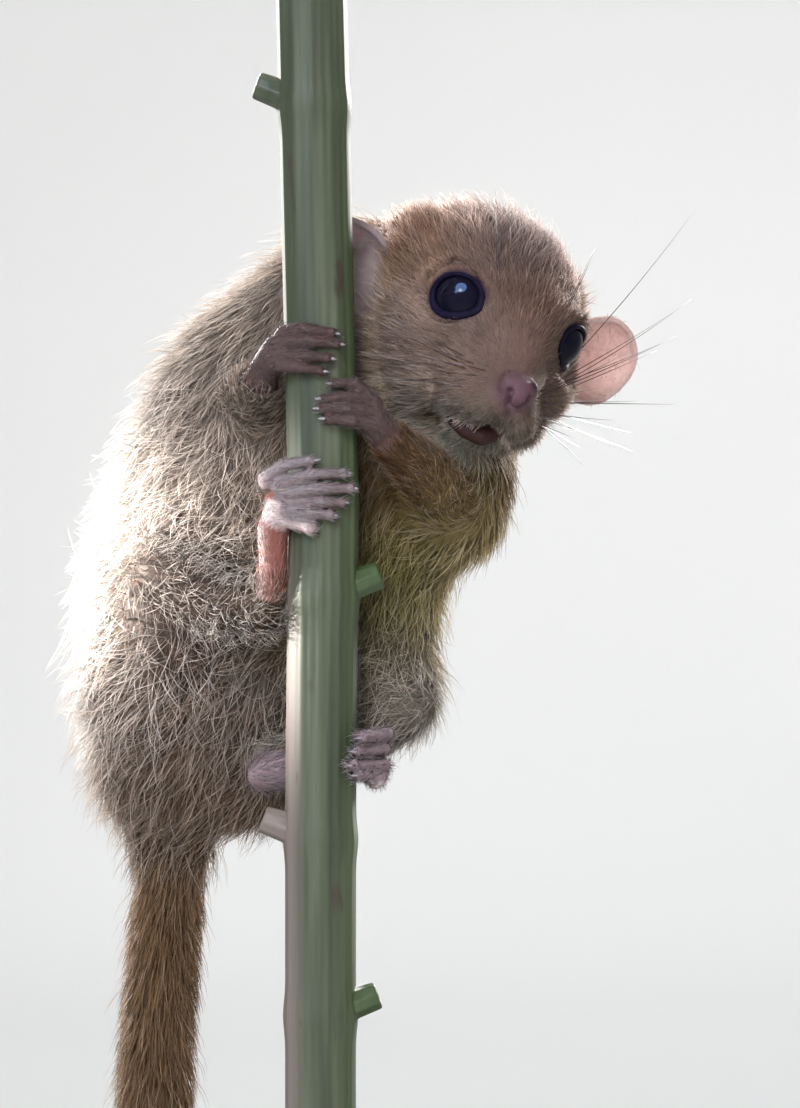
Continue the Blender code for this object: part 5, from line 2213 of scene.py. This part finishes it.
LAMPS = (
    Lamp("key", (-0.10, -0.50, 0.42), (0.005, 0.0, 0.085), 0.16, 0.155, 50.0),
    Lamp("sky", (-0.22, -0.40, 0.32), (0.005, 0.0, 0.090), 0.13, 0.10, 60.0, SKY_BLUE),
    Lamp("fill", (-0.18, -1.15, 0.24), (0.0, 0.0, 0.080), 0.50, 0.31, 22.0, glossy=False),
    Lamp("rim", (-0.28, 0.42, 0.28), (-0.010, 0.0, 0.080), 0.08, 0.30, 25.0, lights=Lit.MODEL),
    Lamp("back", (0.24, 0.42, 0.24), (0.012, 0.0, 0.085), 0.10, 0.14, 26.0, lights=Lit.MODEL),
    Lamp("side", (-0.42, -0.10, 0.12), (-0.018, 0.002, 0.0768), 0.006, 0.0046, 2.7, lights=Lit.MODEL),
    Lamp("graze", (-0.40, 0.08, 0.15), (-0.016, -0.001, 0.076), 0.010, 0.0060, 3.8, lights=Lit.MODEL),
    Lamp("backdrop", (0.0, 0.30, 0.75), (0.0, 0.85, 0.2), 0.6, 2.9, colour=NEUTRAL),
    Lamp(
        "glint",
        (-0.06, -0.36, 0.46),
        (0.005, 0.0, 0.095),
        0.40,
        13.0,
        colour=GLINT_BLUE,
        lights=Lit.EYES,
        diffuse=False,
    ),
)


@dataclass(frozen=True)
class Studio:
    """Floor, lights and camera. The floor is flat up to its bend, and ends in a wall."""

    bench: Workbench
    eyes: list[bpy.types.Object]
    model: list[bpy.types.Object]
    half_width: float = 1600.0
    bend_start: float = 500.0
    bend: float = 350.0
    top: float = 1800.0
    air: Point = (0.94, 0.93, 0.95)
    air_strength: float = 0.36

    def build(self, finish: bpy.types.Material) -> None:
        """Set up everything round the model.

        Args:
            finish: The floor's material.
        """
        self.floor(finish)
        for lamp in LAMPS:
            lamp.hang(self.eyes if lamp.lights is Lit.EYES else self.model)
        scene = bpy.context.scene
        scene.view_settings.view_transform = "Standard"
        world = bpy.data.worlds.new("studio")
        scene.world = world
        world.use_nodes = True
        background = world.node_tree.nodes["Background"]
        background.inputs["Color"].default_value = (*self.air, 1.0)
        background.inputs["Strength"].default_value = self.air_strength
        camera = bpy.data.cameras.new("photograph")
        camera.lens = CAMERA_LENS
        camera.sensor_width = CAMERA_SENSOR
        camera.clip_start = 0.01
        holder = bpy.data.objects.new("photograph", camera)
        holder.location = CAMERA_PLACE
        holder.rotation_euler = (math.radians(90.0), 0.0, 0.0)
        scene.collection.objects.link(holder)
        scene.camera = holder

    def floor(self, finish: bpy.types.Material) -> None:
        """Make the floor, which curves up far behind the model.

        Args:
            finish: The floor's material.
        """
        profile = [(-self.half_width, 0.0), (self.bend_start, 0.0)]
        for angle in (math.radians(degrees) for degrees in range(6, 91, 6)):
            place = self.bend_start + self.bend * math.sin(angle)
            profile.append((place, self.bend - self.bend * math.cos(angle)))
        profile.append((self.bend_start + self.bend, self.top))
        builder = bmesh.new()
        borders = (-self.half_width, self.half_width)
        left, right = ([builder.verts.new((x, y, z)) for y, z in profile] for x in borders)
        for index in range(len(profile) - 1):
            builder.faces.new((left[index], right[index], right[index + 1], left[index + 1]))
        item = self.bench.dress(self.bench.from_bmesh(builder, "studio_floor"), finish)
        to_metres([item])


def paint_skin(skin: Skin, finish: bpy.types.Material) -> None:
    """Give the skin its colours and its material.

    Args:
        skin: The skin.
        finish: Its material.
    """
    tones = np.concatenate((skin.values["skin_tone"], np.ones((len(skin.points), 1))), axis=1)
    layer = skin.item.data.attributes.new("skin_tone", "FLOAT_COLOR", "POINT")
    layer.data.foreach_set("color", tones.reshape(-1).astype(np.float32))
    skin.bench.dress(skin.item, finish)


def to_metres(items: Sequence[bpy.types.Object]) -> None:
    """Scale finished pieces from millimetres."""
    for item in items:
        item.data.transform(Matrix.Scale(METRES, 4))


def main() -> None:
    """Build the whole scene."""
    logging.basicConfig(level=logging.INFO, format="%(message)s")
    bench = Workbench()
    head_copy = bench.node_copy("head")
    coat_field = CoatField(BVHTree.FromObject(head_copy, bpy.context.evaluated_depsgraph_get()))
    bench.discard(head_copy)

    skin = Skin(bench, coat_field)
    skin.build()
    paint_skin(skin, BARE_SKIN.make())
    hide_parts(*BODY_NODES, *LIMB_NODES, *TAIL_NODES, "ear_left", "ear_right")
    coat = Coat(bench, skin)
    coat.build(HAIR.make())

    wet_eye = WET_EYE.make()
    lid_rim = LID_RIM.make()
    eyes: list[bpy.types.Object] = []
    lids: list[bpy.types.Object] = []
    for side, node in ((1, "eye_left"), (-1, "eye_right")):
        eye = Eye(side, bench)
        ball = eye.ball(wet_eye)
        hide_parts(node)
        eyes.append(ball)
        lids.append(eye.rim(lid_rim))
    whiskers = Whiskers(bench).build(WHISKER_HAIR.make())
    claws = Claws(bench).build(CLAW_HORN.make())
    stem = Stem(bench).build(STEM_BARK.make())
    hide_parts("stand_stem")
    for node, finish in (("stand_rod", ROD_BRASS), ("stand_base", BASE_WOOD)):
        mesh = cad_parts[node].data
        mesh.materials.clear()
        mesh.materials.append(finish.make())
    pieces = [skin.item, *eyes, *lids, whiskers, claws, stem]
    Studio(bench, eyes, pieces + coat.pieces).build(STUDIO_FLOOR.make())
    to_metres(pieces)
    for item in pieces + coat.pieces:
        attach(item, "root")
        LOG.info("%s: %d triangles", item.name, sum(len(p.vertices) - 2 for p in item.data.polygons))


if __name__ == "__main__":
    main()
